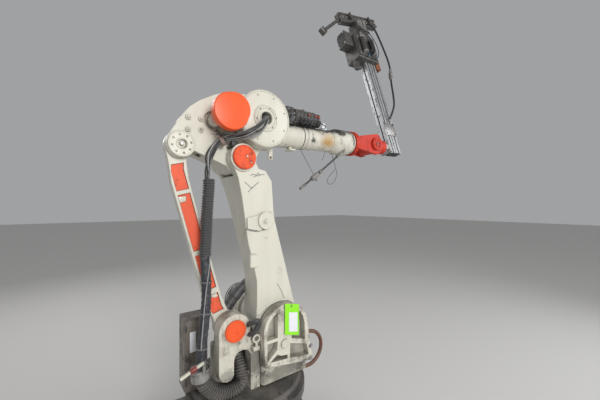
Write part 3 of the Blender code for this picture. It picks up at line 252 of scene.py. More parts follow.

# Per finish: colours of paint, grime (also the colour of the painted corner shade) and chips, then its
# finishNumbers, then what differs from the usual
finishNumbers = ("Amount", "Scale", "Runs", "Dust", "CornerDirtAndShade", "Chips")
finishSettings = {
    "creamPaint": ((0.7, 0.685, 0.595), (0.21, 0.18, 0.14), (0.16, 0.15, 0.13),
        (0.18, 5.0, 0.35, 0.35, 0.55, 0.35)),
    "creamDirty": ((0.68, 0.655, 0.56), (0.13, 0.11, 0.09), (0.1, 0.09, 0.08), (0.5, 7.5, 0.5, 0.8, 0.8, 0.9)),
    "creamForearm": ((0.66, 0.635, 0.55), (0.045, 0.042, 0.04), (0.1, 0.09, 0.08),
        (0.3, 9.0, 0.5, 1.0, 0.7, 0.9)),
    "orangePaint": ((0.93, 0.112, 0.022), (0.3, 0.05, 0.02), (0.33, 0.1, 0.05),
        (0.12, 8.0, 0.3, 0.3, 0.5, 0.5)),
    "panelPaint": ((0.88, 0.125, 0.052), (0.34, 0.07, 0.03), (0.75, 0.55, 0.42),
        (0.34, 14.0, 0.3, 0.3, 1.0, 0.5), {"Smooth": 0.58}),
    "wristPaint": ((0.58, 0.024, 0.004), (0.07, 0.014, 0.008), (0.7, 0.1, 0.03),
        (0.36, 10.0, 0.4, 0.4, 1.6, 0.3), {"Smooth": 0.55}),
    "darkIron": ((0.055, 0.053, 0.052), (0.16, 0.145, 0.125), (0.22, 0.2, 0.18),
        (0.4, 8.0, 0.4, 0.8, 0.2, 0.5)),
    "greyHousing": ((0.24, 0.235, 0.225), (0.055, 0.05, 0.045), (0.5, 0.48, 0.45),
        (0.5, 12.0, 0.6, 0.5, 0.7, 0.7)),
    "bareSteel": ((0.42, 0.41, 0.4), (0.09, 0.075, 0.06), (0.7, 0.7, 0.7),
        (0.4, 18.0, 0.4, 0.4, 0.8, 0.2), {"metal": 0.85}),
    "aluminium": ((0.44, 0.45, 0.46), (0.05, 0.045, 0.04), (0.7, 0.7, 0.7),
        (0.36, 16.0, 0.5, 0.4, 1.0, 0.3), {"metal": 0.55}),
    "brownPaint": ((0.26, 0.082, 0.028), (0.09, 0.05, 0.03), (0.3, 0.25, 0.2), (0.4, 18.0, 0.5, 0.4, 0.7, 0.6)),
    "blackRubber": ((0.028, 0.028, 0.03), (0.15, 0.14, 0.125), (0.08, 0.08, 0.08),
        (0.3, 14.0, 0.2, 0.6, 0.0, 0.1), {"Smooth": 0.5, "Dull": 0.9}),
    "cableBlack": ((0.03, 0.03, 0.034), (0.13, 0.12, 0.11), (0.08, 0.08, 0.08),
        (0.26, 20.0, 0.2, 0.4, 0.0, 0.0), {"Smooth": 0.35, "Dull": 0.8}),
    "cablePale": ((0.34, 0.34, 0.345), (0.07, 0.07, 0.07), (0.4, 0.4, 0.4),
        (0.4, 20.0, 0.2, 0.3, 0.3, 0.0), {"Smooth": 0.4, "Dull": 0.8}),
    "cableGrey": ((0.17, 0.17, 0.172), (0.05, 0.05, 0.05), (0.2, 0.2, 0.2),
        (0.3, 20.0, 0.2, 0.3, 0.0, 0.0), {"Smooth": 0.35, "Dull": 0.8}),
    "strapCloth": ((0.25, 0.185, 0.155), (0.14, 0.1, 0.08), (0.5, 0.4, 0.3),
        (0.4, 30.0, 0.2, 0.3, 0.5, 0.0), {"Smooth": 0.8, "Dull": 0.95}),
    "tagGreen": ((0.3, 0.86, 0.02), (0.16, 0.35, 0.03), (0.4, 0.8, 0.1),
        (0.08, 14.0, 0.2, 0.0, 0.2, 0.0), {"Smooth": 0.45, "Dull": 0.6}),
    "tagWhite": ((0.82, 0.84, 0.88), (0.45, 0.46, 0.48), (0.8, 0.8, 0.8),
        (0.12, 16.0, 0.2, 0.0, 0.2, 0.0), {"Smooth": 0.4, "Dull": 0.6}),
    "markInkAndShade": ((0.27, 0.265, 0.25), (0.05, 0.05, 0.05), (0.2, 0.2, 0.2),
        (0.3, 40.0, 0.2, 0.0, 0.0, 0.0), {"Smooth": 0.8, "Dull": 0.9}),
    "fittingRed": ((0.24, 0.04, 0.028), (0.06, 0.04, 0.035), (0.3, 0.2, 0.15),
        (0.35, 40.0, 0.2, 0.5, 0.3, 0.1)),
    "valveRed": ((0.36, 0.055, 0.035), (0.06, 0.03, 0.025), (0.4, 0.2, 0.15), (0.3, 40.0, 0.2, 0.3, 0.3, 0.2)),
    "capPaint": ((0.88, 0.092, 0.016), (0.13, 0.03, 0.02), (0.85, 0.35, 0.2),
        (0.44, 24.0, 0.3, 0.3, 0.6, 1.0), {"Smooth": 0.5}),
    "boxPaint": ((0.17, 0.145, 0.125), (0.05, 0.042, 0.036), (0.45, 0.42, 0.38),
        (0.5, 12.0, 0.6, 0.6, 0.6, 0.9)),
    "gripperIron": ((0.105, 0.102, 0.096), (0.028, 0.025, 0.022), (0.5, 0.49, 0.47),
        (0.5, 16.0, 0.6, 0.5, 0.8, 0.9), {"metal": 0.3}),
    # The ribbed rubbers take a high corner amount: painted shade in the grooves between the ribs
    "ribbedRubber": ((0.085, 0.084, 0.086), (0.012, 0.012, 0.012), (0.12, 0.12, 0.12),
        (0.2, 12.0, 0.2, 0.0, 2.2, 0.1), {"Smooth": 0.42, "Dull": 0.85}),
    "dustyRubber": ((0.165, 0.155, 0.145), (0.014, 0.013, 0.012), (0.12, 0.12, 0.12),
        (0.26, 12.0, 0.2, 0.0, 2.4, 0.1), {"Smooth": 0.5, "Dull": 0.85}),
    "panelEdgeShade": ((0.1, 0.035, 0.025), (0.03, 0.02, 0.018), (0.5, 0.12, 0.06),
        (0.4, 30.0, 0.2, 0.2, 0.3, 1.0), {"Smooth": 0.8, "Dull": 0.9}),
    "wrapCloth": ((0.05, 0.05, 0.054), (0.16, 0.155, 0.15), (0.1, 0.1, 0.1),
        (0.3, 16.0, 0.2, 0.4, 0.1, 0.1), {"Smooth": 0.42, "Dull": 0.85, "Grain": 0.9}),
    "sleeveCloth": ((0.034, 0.037, 0.044), (0.17, 0.175, 0.185), (0.09, 0.09, 0.09),
        (0.36, 22.0, 0.2, 0.3, 0.1, 0.0), {"Smooth": 0.4, "Dull": 0.85, "Grain": 0.8}),
    "hoseBrown": ((0.16, 0.075, 0.045), (0.07, 0.05, 0.04), (0.2, 0.15, 0.1),
        (0.3, 16.0, 0.2, 0.4, 0.1, 0.0), {"Smooth": 0.45, "Dull": 0.85}),
    "fittingBlue": ((0.035, 0.1, 0.17), (0.05, 0.05, 0.06), (0.2, 0.2, 0.25), (0.35, 40.0, 0.2, 0.4, 0.3, 0.1)),
}
# Per finish: its stains, each by centre, radii, colour, strength and, where it differs, edge
stains = {
    "creamDirty": (
        ((-0.03, -0.205, 0.585), (0.085, 0.05, 0.12), (0.055, 0.05, 0.045), 0.65),
        ((0.16, -0.26, 0.455), (0.3, 0.12, 0.06), (0.07, 0.065, 0.06), 0.6),
        ((-0.23, -0.205, 0.545), (0.06, 0.05, 0.055), (0.06, 0.055, 0.05), 0.45),
        ((0.31, -0.27, 0.475), (0.13, 0.1, 0.07), (0.06, 0.055, 0.05), 0.7),
        ((0.17, -0.224, 0.7), (0.21, 0.04, 0.28), (0.26, 0.245, 0.22), 0.7, (0.5, 0.55, 1.15)),
    ),
    "creamForearm": (
        ((0.735, -0.03, 2.095), (0.105, 0.07, 0.09), (0.42, 0.22, 0.022), 0.88, (0.8, 0.0, 1.15)),
        ((1.035, -0.045, 2.165), (0.035, 0.08, 0.07), (0.05, 0.045, 0.04), 0.8),
        ((0.572, -0.035, 2.081), (0.03, 0.04, 0.016), (0.05, 0.045, 0.04), 0.85),
        ((0.885, -0.045, 2.185), (0.06, 0.07, 0.032), (0.03, 0.028, 0.026), 0.9),
        ((0.56, 0.0, 2.222), (0.55, 0.12, 0.062), (0.022, 0.021, 0.02), 0.95),
    ),
}
finishes = {}


def addStain(tree, shown, centre, radii, colour, strength, edge=(1.7, 0.5, 1.1)):
    # A patch about a place on the object; edge gives its raggedness, then where it starts and ends to fade
    place = addNode(tree, "ShaderNodeTexCoord").outputs["Object"]
    moved = addNode(tree, "ShaderNodeVectorMath", operation="SUBTRACT")
    wire(tree, place, moved.inputs[0])
    moved.inputs[1].default_value = centre
    shared = addNode(tree, "ShaderNodeVectorMath", operation="DIVIDE")
    wire(tree, moved.outputs[0], shared.inputs[0])
    shared.inputs[1].default_value = radii
    reach = addNode(tree, "ShaderNodeVectorMath", operation="LENGTH")
    wire(tree, shared.outputs[0], reach.inputs[0])
    ragged = noiseNode(tree, place, 26.0, 7, 0.68, 0.3)
    reach = mathNode(tree, "ADD", reach.outputs["Value"], mathNode(tree, "MULTIPLY",
        mathNode(tree, "SUBTRACT", ragged, 0.5), edge[0]))
    inside = mathNode(tree, "SUBTRACT", 1.0, smoothRange(tree, reach, edge[1], edge[2]))
    return mixColour(tree, mathNode(tree, "MULTIPLY", inside, strength), shown, (*colour, 1))


def makeFinish(name, paint, grimeAndShadeColour, chip, numbers, extra=None):
    settings = {"Paint": paint, "GrimeAndShadeColour": grimeAndShadeColour, "Chip": chip, **dict(zip(finishNumbers, numbers)),
        **(extra or {})}
    metal = settings.pop("metal", 0)
    material = bpy.data.materials.new(name)
    material.use_nodes = True
    tree = material.node_tree
    shader = tree.nodes["Principled BSDF"]
    look = addNode(tree, "ShaderNodeGroup")
    look.node_tree = weatheredPaint
    for label, value in settings.items():
        look.inputs[label].default_value = (*value, 1) if isinstance(value, tuple) else value
    shown = look.outputs["Colour"]
    for stain in stains.get(name, ()):
        shown = addStain(tree, shown, *stain)
    wire(tree, shown, shader.inputs["Base Color"])
    wire(tree, look.outputs["Roughness"], shader.inputs["Roughness"])
    wire(tree, look.outputs["Normal"], shader.inputs["Normal"])
    if metal:
        # Grime and the painted corner shade take away the metal under them
        shine = mathNode(tree, "MULTIPLY", mathNode(tree, "SUBTRACT", 1.0, look.outputs["GrimeAndShadeAmount"]), metal)
        wire(tree, shine, shader.inputs["Metallic"])
    finishes[name] = material


for finishName, finishValues in finishSettings.items():
    makeFinish(finishName, *finishValues)
print("finishes:", len(finishes))


# Shaping helpers
def showPiece(name, shape, finish, angle):
    # Turns a bmesh into an object, smooth up to the angle
    limit = math.radians(angle)
    for face in shape.faces:
        face.smooth = True
    for edge in shape.edges:
        edge.smooth = len(edge.link_faces) == 2 and edge.calc_face_angle(0) < limit
    mesh = bpy.data.meshes.new(name)
    shape.to_mesh(mesh)
    shape.free()
    mesh.materials.append(finishes[finish])
    return showObject(name, mesh)


def keepMesh(name, shape, finish, body=None, angle=32):
    # Closes a bmesh into a finished piece: merged and facing out
    bmesh.ops.remove_doubles(shape, verts=shape.verts, dist=mergeDistance)
    bmesh.ops.recalc_face_normals(shape, faces=shape.faces)
    piece = showPiece(name, shape, finish, angle)
    if body:
        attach(piece, body)
    return piece


def nodeShape(node):
    # A CAD node's surface, its loose triangles merged into flat faces
    shape = bmesh.new()
    shape.from_mesh(frame["nodes"][node].data)
    bmesh.ops.remove_doubles(shape, verts=shape.verts, dist=mergeDistance)
    bmesh.ops.dissolve_limit(shape, angle_limit=flatAngle, verts=shape.verts, edges=shape.edges)
    return shape


# Nodes shown by their own surface, under the finish of each
surfaceNodes = {
    "darkIron": "base_plate base_pedestal swivel_table shoulder_motor valve_block"
                " wrist_motor_1 wrist_motor_2 wrist_motor_3",
    "greyHousing": "base_connector_box",
    "creamDirty": "swivel_frame link_bracket bearing_bracket bearing_cap far_bearing_bracket lifting_eye",
    "orangePaint": "link_pivot_cap",
    "boxPaint": "side_box",
    "bareSteel": "hose_clamp tool_flange tool_adapter",
    "creamPaint": "lower_arm arm_collar stop_block elbow_far_cap rear_link elbow_casting rear_pivot_cap"
                  " elbow_motor elbow_drum drum_hub_ring",
    "capPaint": "elbow_near_cap",
    "panelPaint": "link_panel_1 link_panel_2 link_panel_3 link_panel_4",
    "creamForearm": "elbow_housing forearm_tube forearm_collar",
    "wristPaint": "wrist_fork wrist_hub wrist_body",
    "aluminium": "beam_profile_near beam_profile_far",
    "brownPaint": "beam_block",
    "gripperIron": "gripper_block gripper_neck gripper_crossbar gripper_jaw_near gripper_jaw_far"
                   " gripper_side_rod",
}
bodyOf = {node: body for body, nodes in frame["record"]["behaviour"]["bodies"].items() for node in nodes}
finishOf = {node: finish for finish, nodes in surfaceNodes.items() for node in nodes.split()}
for nodeName, finishName in finishOf.items():
    skin = showPiece(nodeName + "Skin", nodeShape(nodeName), finishName, 32)
    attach(skin, bodyOf[nodeName])
    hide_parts(nodeName)
print("frame surfaces:", len(finishOf))


# Routes, tubes, bolts and rings
def smoothRoute(route, spacing):
    # Evenly spaced points on a smooth curve through the route's own points
    points = [Vector(place) for place in route]
    ends = [2 * points[0] - points[1], *points, 2 * points[-1] - points[-2]]
    stages = 20
    fine = []
    for n in range(1, len(ends) - 2):
        p0, p1, p2, p3 = ends[n - 1:n + 3]
        for step in range(stages):
            t = step / stages
            fine.append(0.5 * (2 * p1 + (p2 - p0) * t + (2 * p0 - 5 * p1 + 4 * p2 - p3) * t ** 2
                + (3 * p1 - p0 - 3 * p2 + p3) * t ** 3))
    fine.append(points[-1])
    total = routeLength(fine)
    count = max(4, round(total / spacing))
    even = [fine[0]]
    walked = 0
    for a, b in zip(fine, fine[1:]):
        step = (b - a).length
        while len(even) < count and walked + step >= total * len(even) / count:
            even.append(a.lerp(b, (total * len(even) / count - walked) / step))
        walked += step
    even.append(fine[-1])
    return even


def routeLength(points):
    return sum((b - a).length for a, b in zip(points, points[1:]))


def routeFrom(pivot, offsets):
    return [pivot + Vector(offset) for offset in offsets]


def sweepTube(name, points, radius, finish, body=None, swell=None, resolution=3, angle=40):
    # A round tube along the points; swell gives each point's share of the radius
    curve = bpy.data.curves.new(name, "CURVE")
    curve.dimensions = "3D"
    curve.bevel_depth = radius
    curve.bevel_resolution = resolution
    curve.use_fill_caps = True
    spline = curve.splines.new("POLY")
    spline.points.add(len(points) - 1)
    for n, (point, place) in enumerate(zip(spline.points, points)):
        point.co = (*place, 1)
        point.radius = swell(n) if swell else 1
    holder = showObject(name, curve)
    bpy.context.view_layer.update()
    mesh = bpy.data.meshes.new_from_object(holder.evaluated_get(bpy.context.evaluated_depsgraph_get()))
    bpy.data.objects.remove(holder, do_unlink=True)
    bpy.data.curves.remove(curve)
    shape = bmesh.new()
    shape.from_mesh(mesh)
    bpy.data.meshes.remove(mesh)
    return keepMesh(name, shape, finish, body, angle)


def corrugated(name, route, radius, pitch, depth, finish, body=None):
    # Four stations to each rib: crown, slope, groove, slope
    points = smoothRoute(route, pitch / 4)
    shares = (1, 1 - depth / 2, 1 - depth, 1 - depth / 2)
    return sweepTube(name, points, radius, finish, body, swell=lambda n: shares[n % 4], angle=25)


def facing(axis, place=(0, 0, 0)):
    # Turns Z to the axis and moves to the place
    return Matrix.Translation(place) @ Vector(axis).to_track_quat("Z", "Y").to_matrix().to_4x4()


def addCone(shape, place, axis, radius, depth, segments=24, topShare=1.0):
    # A round or many-sided stub standing on the place
    middle = Vector(place) + Vector(axis).normalized() * depth / 2
    bmesh.ops.create_cone(shape, cap_ends=True, segments=segments, radius1=radius, radius2=radius * topShare,
        depth=depth, matrix=facing(axis, middle))


def addBox(shape, low, high, matrix=None):
    low, high = Vector(low), Vector(high)
    place = Matrix.Translation((low + high) / 2) @ Matrix.Diagonal((*(high - low), 1))
    bmesh.ops.create_cube(shape, size=1, matrix=matrix @ place if matrix else place)


def roundEdges(shape, edges, offset, segments=2):
    bmesh.ops.bevel(shape, geom=edges, offset=offset, segments=segments, profile=0.5, affect="EDGES",
        material=-1)


def softBox(name, low, high, finish, body, matrix=None, edge=0.003):
    shape = bmesh.new()
    addBox(shape, low, high, matrix)
    roundEdges(shape, shape.edges[:], edge)
    return keepMesh(name, shape, finish, body)


def stubSet(name, stubs, finish, body):
    # One piece of several stubs, each as addCone takes it
    shape = bmesh.new()
    for stub in stubs:
        addCone(shape, *stub)
    return keepMesh(name, shape, finish, body)


def addBolt(shape, place, axis, radius, height):
    # Washer, hexagon head and its chamfered top
    up = Vector(axis).normalized()
    addCone(shape, place, axis, radius * 1.5, height * 0.22, 18)
    addCone(shape, Vector(place) + up * height * 0.2, axis, radius, height * 0.6, 6)
    addCone(shape, Vector(place) + up * height * 0.79, axis, radius * 0.93, height * 0.12, 12, 0.85)


def boltSet(name, places, axis, radius, height, finish, body):
    shape = bmesh.new()
    for place in places:
        addBolt(shape, place, axis, radius, height)
    return keepMesh(name, shape, finish, body, angle=30)


def circlePlaces(centre, radius, count, start=0.0, axis="Y"):
    # Places on a circle about an axis, angles from +X, or from +Y about X
    places = []
    for n in range(count):
        angle = math.radians(start + 360 * n / count)
        across, up = radius * math.cos(angle), radius * math.sin(angle)
        offset = {"Y": (across, 0, up), "Z": (across, up, 0), "X": (0, across, up)}[axis]
        places.append(Vector(centre) + Vector(offset))
    return places


def lip(inner, outer, height, low=-0.001, slope=0.001):
    # Profile of a low ring that rises to the height at both sides
    return [(inner, low), (inner + slope, height), (outer - slope, height), (outer, low)]


def band(inner, outer, width, slope=0.001):
    # Profile of a band round a tube
    return [(inner, 0), (outer, slope), (outer, width - slope), (inner, width)]


def spinRing(name, profile, matrix, finish, body, steps=96, angle=30):
    # A closed profile of (radius, height) spun about Z, then placed
    shape = bmesh.new()
    points = [shape.verts.new((radius, 0, height)) for radius, height in profile]
    edges = [shape.edges.new((points[n - 1], points[n])) for n in range(len(points))]
    bmesh.ops.spin(shape, geom=[*points, *edges], cent=(0, 0, 0), axis=(0, 0, 1), angle=2 * math.pi,
        steps=steps, use_merge=True)
    bmesh.ops.transform(shape, matrix=matrix, verts=shape.verts)
    return keepMesh(name, shape, finish, body, angle)


near = (0, -1, 0)
far = (0, 1, 0)
upward = (0, 0, 1)
print("helpers ready")

# Dress pack: hose bend, wrapped sleeve, conduit and the bundle of cables, on the routes of the CAD
dressPack = {
    "hoseRadius": 0.048, "hosePitch": 0.0145, "hoseDepth": 0.19, "sleeveRadius": 0.028, "wrapPitch": 0.036,
    "conduitRadius": 0.036, "conduitPitch": 0.015, "conduitDepth": 0.19, "bundleRadius": 0.03,
    "cableRadius": 0.0042, "cables": 12, "openFrom": 0.52, "openFor": 0.34,
    "lead": ((-0.15, -0.196, 0.462), (-0.156, -0.2, 0.4), (-0.17, -0.2, 0.3), (-0.181, -0.2, 0.2),
        (-0.189, -0.198, 0.1), (-0.195, -0.197, 0.02), (-0.199, -0.195, -0.03), (-0.197, -0.19, -0.066)),
    "ties": ((-0.188, -0.165, -0.066), (-0.167, -0.165, 0.13), (-0.162, -0.165, 0.31)),
}
hoseOffsets = ((0.049, -0.06, -0.197), (0.049, -0.11, -0.212), (0.049, -0.16, -0.26), (0.04, -0.19, -0.315),
    (0.005, -0.2, -0.341), (-0.055, -0.2, -0.345), (-0.12, -0.195, -0.322), (-0.172, -0.18, -0.266),
    (-0.195, -0.165, -0.202), (-0.195, -0.165, -0.172))
sleeveOffsets = ((-0.195, -0.165, -0.1716), (-0.195, -0.165, -0.142), (-0.188, -0.165, -0.062),
    (-0.172, -0.165, 0.078), (-0.161, -0.165, 0.218), (-0.163, -0.165, 0.338), (-0.168, -0.165, 0.438),
    (-0.168, -0.165, 0.468))
conduitLowOffsets = ((-0.168, -0.165, 0.4684), (-0.168, -0.165, 0.498), (-0.163, -0.165, 0.578))
conduitHighOffsets = ((-0.211, -0.165, -0.352), (-0.205, -0.165, -0.252), (-0.2, -0.165, -0.182),
    (-0.2, -0.165, -0.14))
bundleOffsets = ((-0.204, -0.165, -0.1375), (-0.203, -0.165, -0.12), (-0.2, -0.165, -0.062),
    (-0.182, -0.167, 0.008), (-0.134, -0.18, 0.083), (-0.086, -0.2, 0.105), (-0.043, -0.225, 0.113),
    (0.002, -0.262, 0.128), (0.052, -0.274, 0.162), (0.097, -0.278, 0.206), (0.131, -0.264, 0.248),
    (0.141, -0.225, 0.258), (0.141, -0.15, 0.258))


def buildDressPack(look):
    hoseRoute = routeFrom(linkFoot, hoseOffsets)
    hose = corrugated("hoseBendRibbed", hoseRoute, look["hoseRadius"], look["hosePitch"], look["hoseDepth"],
        "dustyRubber", "swivel")
    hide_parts("hose_bend")
    sleeveRoute = routeFrom(linkFoot, sleeveOffsets)
    points = smoothRoute(sleeveRoute, look["wrapPitch"] / 9)
    # Overlapping turns of wrapped cloth: each swells towards its lower edge
    sleeve = sweepTube("sleeveWrapped", points, look["sleeveRadius"] * 0.93, "sleeveCloth",
        swell=lambda n: 1 + 0.095 * (1 - (n % 9) / 8) + 0.03 * math.sin(n * 0.61) * math.sin(n * 0.17),
        resolution=5)
    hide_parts("dress_sleeve")
    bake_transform(sleeve)
    # A lead runs down the sleeve under three ties
    lead = sweepTube("sleeveLead", smoothRoute(routeFrom(linkFoot, look["lead"]), 0.01), 0.0035, "cablePale",
        resolution=2)
    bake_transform(lead)
    for number, place in enumerate(routeFrom(linkFoot, look["ties"])):
        tie = spinRing("sleeveTie%d" % (number + 1), band(0.027, 0.0325, 0.009), facing((0.06, 0, 1), place),
            "cableGrey", None, steps=32)
        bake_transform(tie)
    conduitRoute = routeFrom(linkFoot, conduitLowOffsets) + routeFrom(head, conduitHighOffsets)
    conduit = corrugated("conduitRibbed", conduitRoute, look["conduitRadius"], look["conduitPitch"],
        look["conduitDepth"], "ribbedRubber", "rear_link")
    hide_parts("dress_conduit")
    # Loose cables leave the conduit and run to the drum's hole
    centre = smoothRoute(routeFrom(head, bundleOffsets), 0.012)
    pick = random.Random(7)
    for number in range(look["cables"]):
        turn = 2 * math.pi * number / (look["cables"] - 1)
        reach = 0.0 if number == look["cables"] - 1 else look["bundleRadius"] - look["cableRadius"] - 0.001
        drift = pick.uniform(0.6, 1.4)
        phase = pick.uniform(0, 6.3)
        points = []
        for n, place in enumerate(centre):
            ahead = centre[min(n + 1, len(centre) - 1)] - centre[max(n - 1, 0)]
            side = ahead.cross(Vector((0, 1, 0.2))).normalized()
            lift = ahead.cross(side).normalized()
            angle = turn + 1.5 * math.sin(n * 0.085 * drift + phase)
            spread = reach * (0.76 + 0.24 * math.sin(n * 0.19 * drift + phase * 2))
            gone = n / (len(centre) - 1)
            share = min(1.0, max(0.0, (gone - look["openFrom"]) / look["openFor"]))
            # Close together at both ends, pinched by the strap, open before the drum
            opened = 1 + 0.3 * math.sin(math.pi * share) ** 2 - 0.32 * math.exp(-((gone - 0.36) / 0.05) ** 2)
            opened *= 1 - 0.38 * min(1.0, max(0.0, (gone - 0.68) / 0.12))
            opened *= 0.55 + 0.45 * min(1.0, gone / 0.16)
            offset = (side * math.cos(angle) + lift * math.sin(angle)) * spread * opened
            if gone < 0.42:
                # Up to the strap the cables keep off the arm's side
                offset.x *= 0.5 if offset.x > 0 else 1.2
            points.append(place + offset)
        # Black, grey, black, pale in turn: partly the cables' own colours, partly painted highlights along the
        # bundle
        cable = sweepTube("bundleCable%d" % (number + 1), points, look["cableRadius"],
            ("cableBlack", "cableGrey", "cableBlack", "cablePale")[number % 4], "elbow_casting", resolution=2)
    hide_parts("cable_bundle")


buildDressPack(dressPack)
print("dress pack done")

# Motor cover: one skin over two discs, its rim rounded
coverLook = {
    "discs": ((-0.232, 2.093, 0.1055), (-0.208, 2.114, 0.09)), "near": -0.3, "far": -0.25, "round": 0.007,
}


def buildCover(look):
    shape = bmesh.new()
    depth = look["far"] - look["near"]
    for x, z, radius in look["discs"]:
        bmesh.ops.create_cone(shape, cap_ends=True, segments=96, radius1=radius, radius2=radius, depth=depth,
            matrix=facing(near, (x, look["near"] + depth / 2, z)))
    hull = bmesh.ops.convex_hull(shape, input=shape.verts)
    bmesh.ops.delete(shape, geom=list({*hull["geom_interior"], *hull["geom_unused"]}), context="VERTS")
    flat = [edge for edge in shape.edges if len(edge.link_faces) == 2 and edge.calc_face_angle(0) < 0.001]
    bmesh.ops.dissolve_edges(shape, edges=flat, use_verts=False)
    rim = [edge for edge in shape.edges
           if all(abs(corner.co.y - look["near"]) < 0.0001 for corner in edge.verts)]
    roundEdges(shape, rim, look["round"], 4)
    cover = keepMesh("motorCoverSkin", shape, "orangePaint", "elbow_casting", angle=40)
    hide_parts("elbow_motor_cover")


buildCover(coverLook)
print("cover done")

# Strap round the cables, with frayed ends, and the dark clip beside the head
strapLook = {"radius": 0.026, "thick": 0.003, "width": 0.024, "place": (-0.136, -0.179, 0.082), "threads": 20}


def buildStrap(look):
    place = head + Vector(look["place"])
    along = Vector((0.048, -0.02, 0.03)).normalized()
    spinRing("cableStrap", band(look["radius"], look["radius"] + look["thick"], look["width"]),
        facing(along, place), "strapCloth", "elbow_casting", steps=40)
    pick = random.Random(3)
    for number in range(look["threads"]):
        start = place + Vector((0.0, -0.02, 0.022))
        reach = (pick.uniform(-0.07, 0.045), pick.uniform(-0.02, 0.0), pick.uniform(-0.012, 0.045))
        tip = start + Vector(reach)
        middle = start.lerp(tip, 0.5) + Vector((0, -0.006, pick.uniform(0.0, 0.012)))
        finish = "strapCloth" if number % 4 == 1 else "cableBlack"
        sweepTube("strapEnd%d" % (number + 1), [start, middle, tip], 0.0016, finish, "elbow_casting",
            resolution=1)
    softBox("headClip", head + Vector((-0.075, -0.205, 0.062)), head + Vector((-0.035, -0.17, 0.098)),
        "blackRubber", "elbow_casting", edge=0.006)
    # A plate carries the clip from the casting's face
    softBox("headClipPlate", head + Vector((-0.082, -0.1705, 0.06)), head + Vector((-0.03, -0.132, 0.066)),
        "darkIron", "elbow_casting", edge=0.002)


buildStrap(strapLook)
print("strap done")

# Drum: rolled rim, rings round the hole, screws, and the dark plug in the hole
drumLook = {"radius": 0.181, "face": -0.235, "groove": 0.165, "hub": 0.086, "hole": 0.038}


def buildDrum(look):
    matrix = facing(near, (elbow.x, look["face"], elbow.z))
    edge = look["radius"] - 0.002
    spinRing("drumRim", [(edge - 0.011, -0.001), (edge - 0.0095, 0.0022), (edge - 0.004, 0.0024),
        (edge - 0.003, -0.001)], matrix, "creamPaint", "elbow_casting", steps=128)
    rings = ((look["groove"], 0.0022, 0.0008), (look["hub"] - 0.012, 0.004, 0.0085),
             (look["hub"] - 0.026, 0.005, 0.01), (look["hole"] + 0.001, 0.006, 0.0125))
    for number, (inner, width, height) in enumerate(rings):
        spinRing("drumRing%d" % (number + 1), lip(inner, inner + width, height, slope=0.0006), matrix,
            "creamPaint", "elbow_casting")
    plug = ((elbow.x, look["face"] + 0.045, elbow.z), near, look["hole"] - 0.001, 0.012, 48)
    stubSet("drumHolePlug", [plug], "blackRubber", "elbow_casting")
    places = circlePlaces((elbow.x, look["face"], elbow.z), look["groove"] - 0.016, 8, 22)
    boltSet("drumScrews", places, near, 0.0045, 0.004, "creamPaint", "elbow_casting")
    places = circlePlaces((elbow.x, look["face"] - 0.006, elbow.z), look["hub"] - 0.018, 6, 10)
    boltSet("hubScrews", places, near, 0.0035, 0.004, "bareSteel", "elbow_casting")


buildDrum(drumLook)
print("drum done")

# Caps on the pivots: the orange ones have a plug and a ring, the rear one a ring of bolts
capLook = {"rearFace": -0.149, "headFace": -0.234, "footFace": -0.217}


def buildCaps(look):
    matrix = facing(near, (rearPivot.x, look["rearFace"], rearPivot.z))
    spinRing("rearCapLip", lip(0.0635, 0.073, 0.0025, slope=0.0015), matrix, "creamPaint", "elbow_casting")
    spinRing("rearCapWell", [(0.021, -0.007), (0.023, 0.0035), (0.03, 0.0035), (0.0315, -0.001)], matrix,
        "creamDirty", "elbow_casting", steps=48)
    pin = ((rearPivot.x, look["rearFace"] + 0.008, rearPivot.z), near, 0.012, 0.014, 20, 0.8)
    stubSet("rearPin", [pin], "bareSteel", "elbow_casting")
    places = circlePlaces((rearPivot.x, look["rearFace"], rearPivot.z), 0.052, 8, 12)
    boltSet("rearCapBolts", places, near, 0.0042, 0.0045, "creamDirty", "elbow_casting")
    plugs = [((head.x + 0.012, look["headFace"], head.z + 0.004), near, 0.006, 0.004, 16),
             ((head.x + 0.04, look["headFace"], head.z - 0.031), near, 0.004, 0.003, 12)]
    stubSet("headCapPlug", plugs, "creamPaint", "lower_arm")
    spinRing("headCapRing", lip(0.0605, 0.0655, 0.0012), facing(near, (head.x, look["headFace"], head.z)),
        "orangePaint", "lower_arm")
    plug = ((linkFoot.x + 0.008, look["footFace"], linkFoot.z - 0.01), near, 0.006, 0.004, 16)
    stubSet("footCapPlug", [plug], "orangePaint", "swivel")
    matrix = facing(near, (linkFoot.x, look["footFace"], linkFoot.z))
    spinRing("footCapRing", lip(0.0525, 0.0575, 0.0012), matrix, "orangePaint", "swivel")


buildCaps(capLook)
print("caps done")

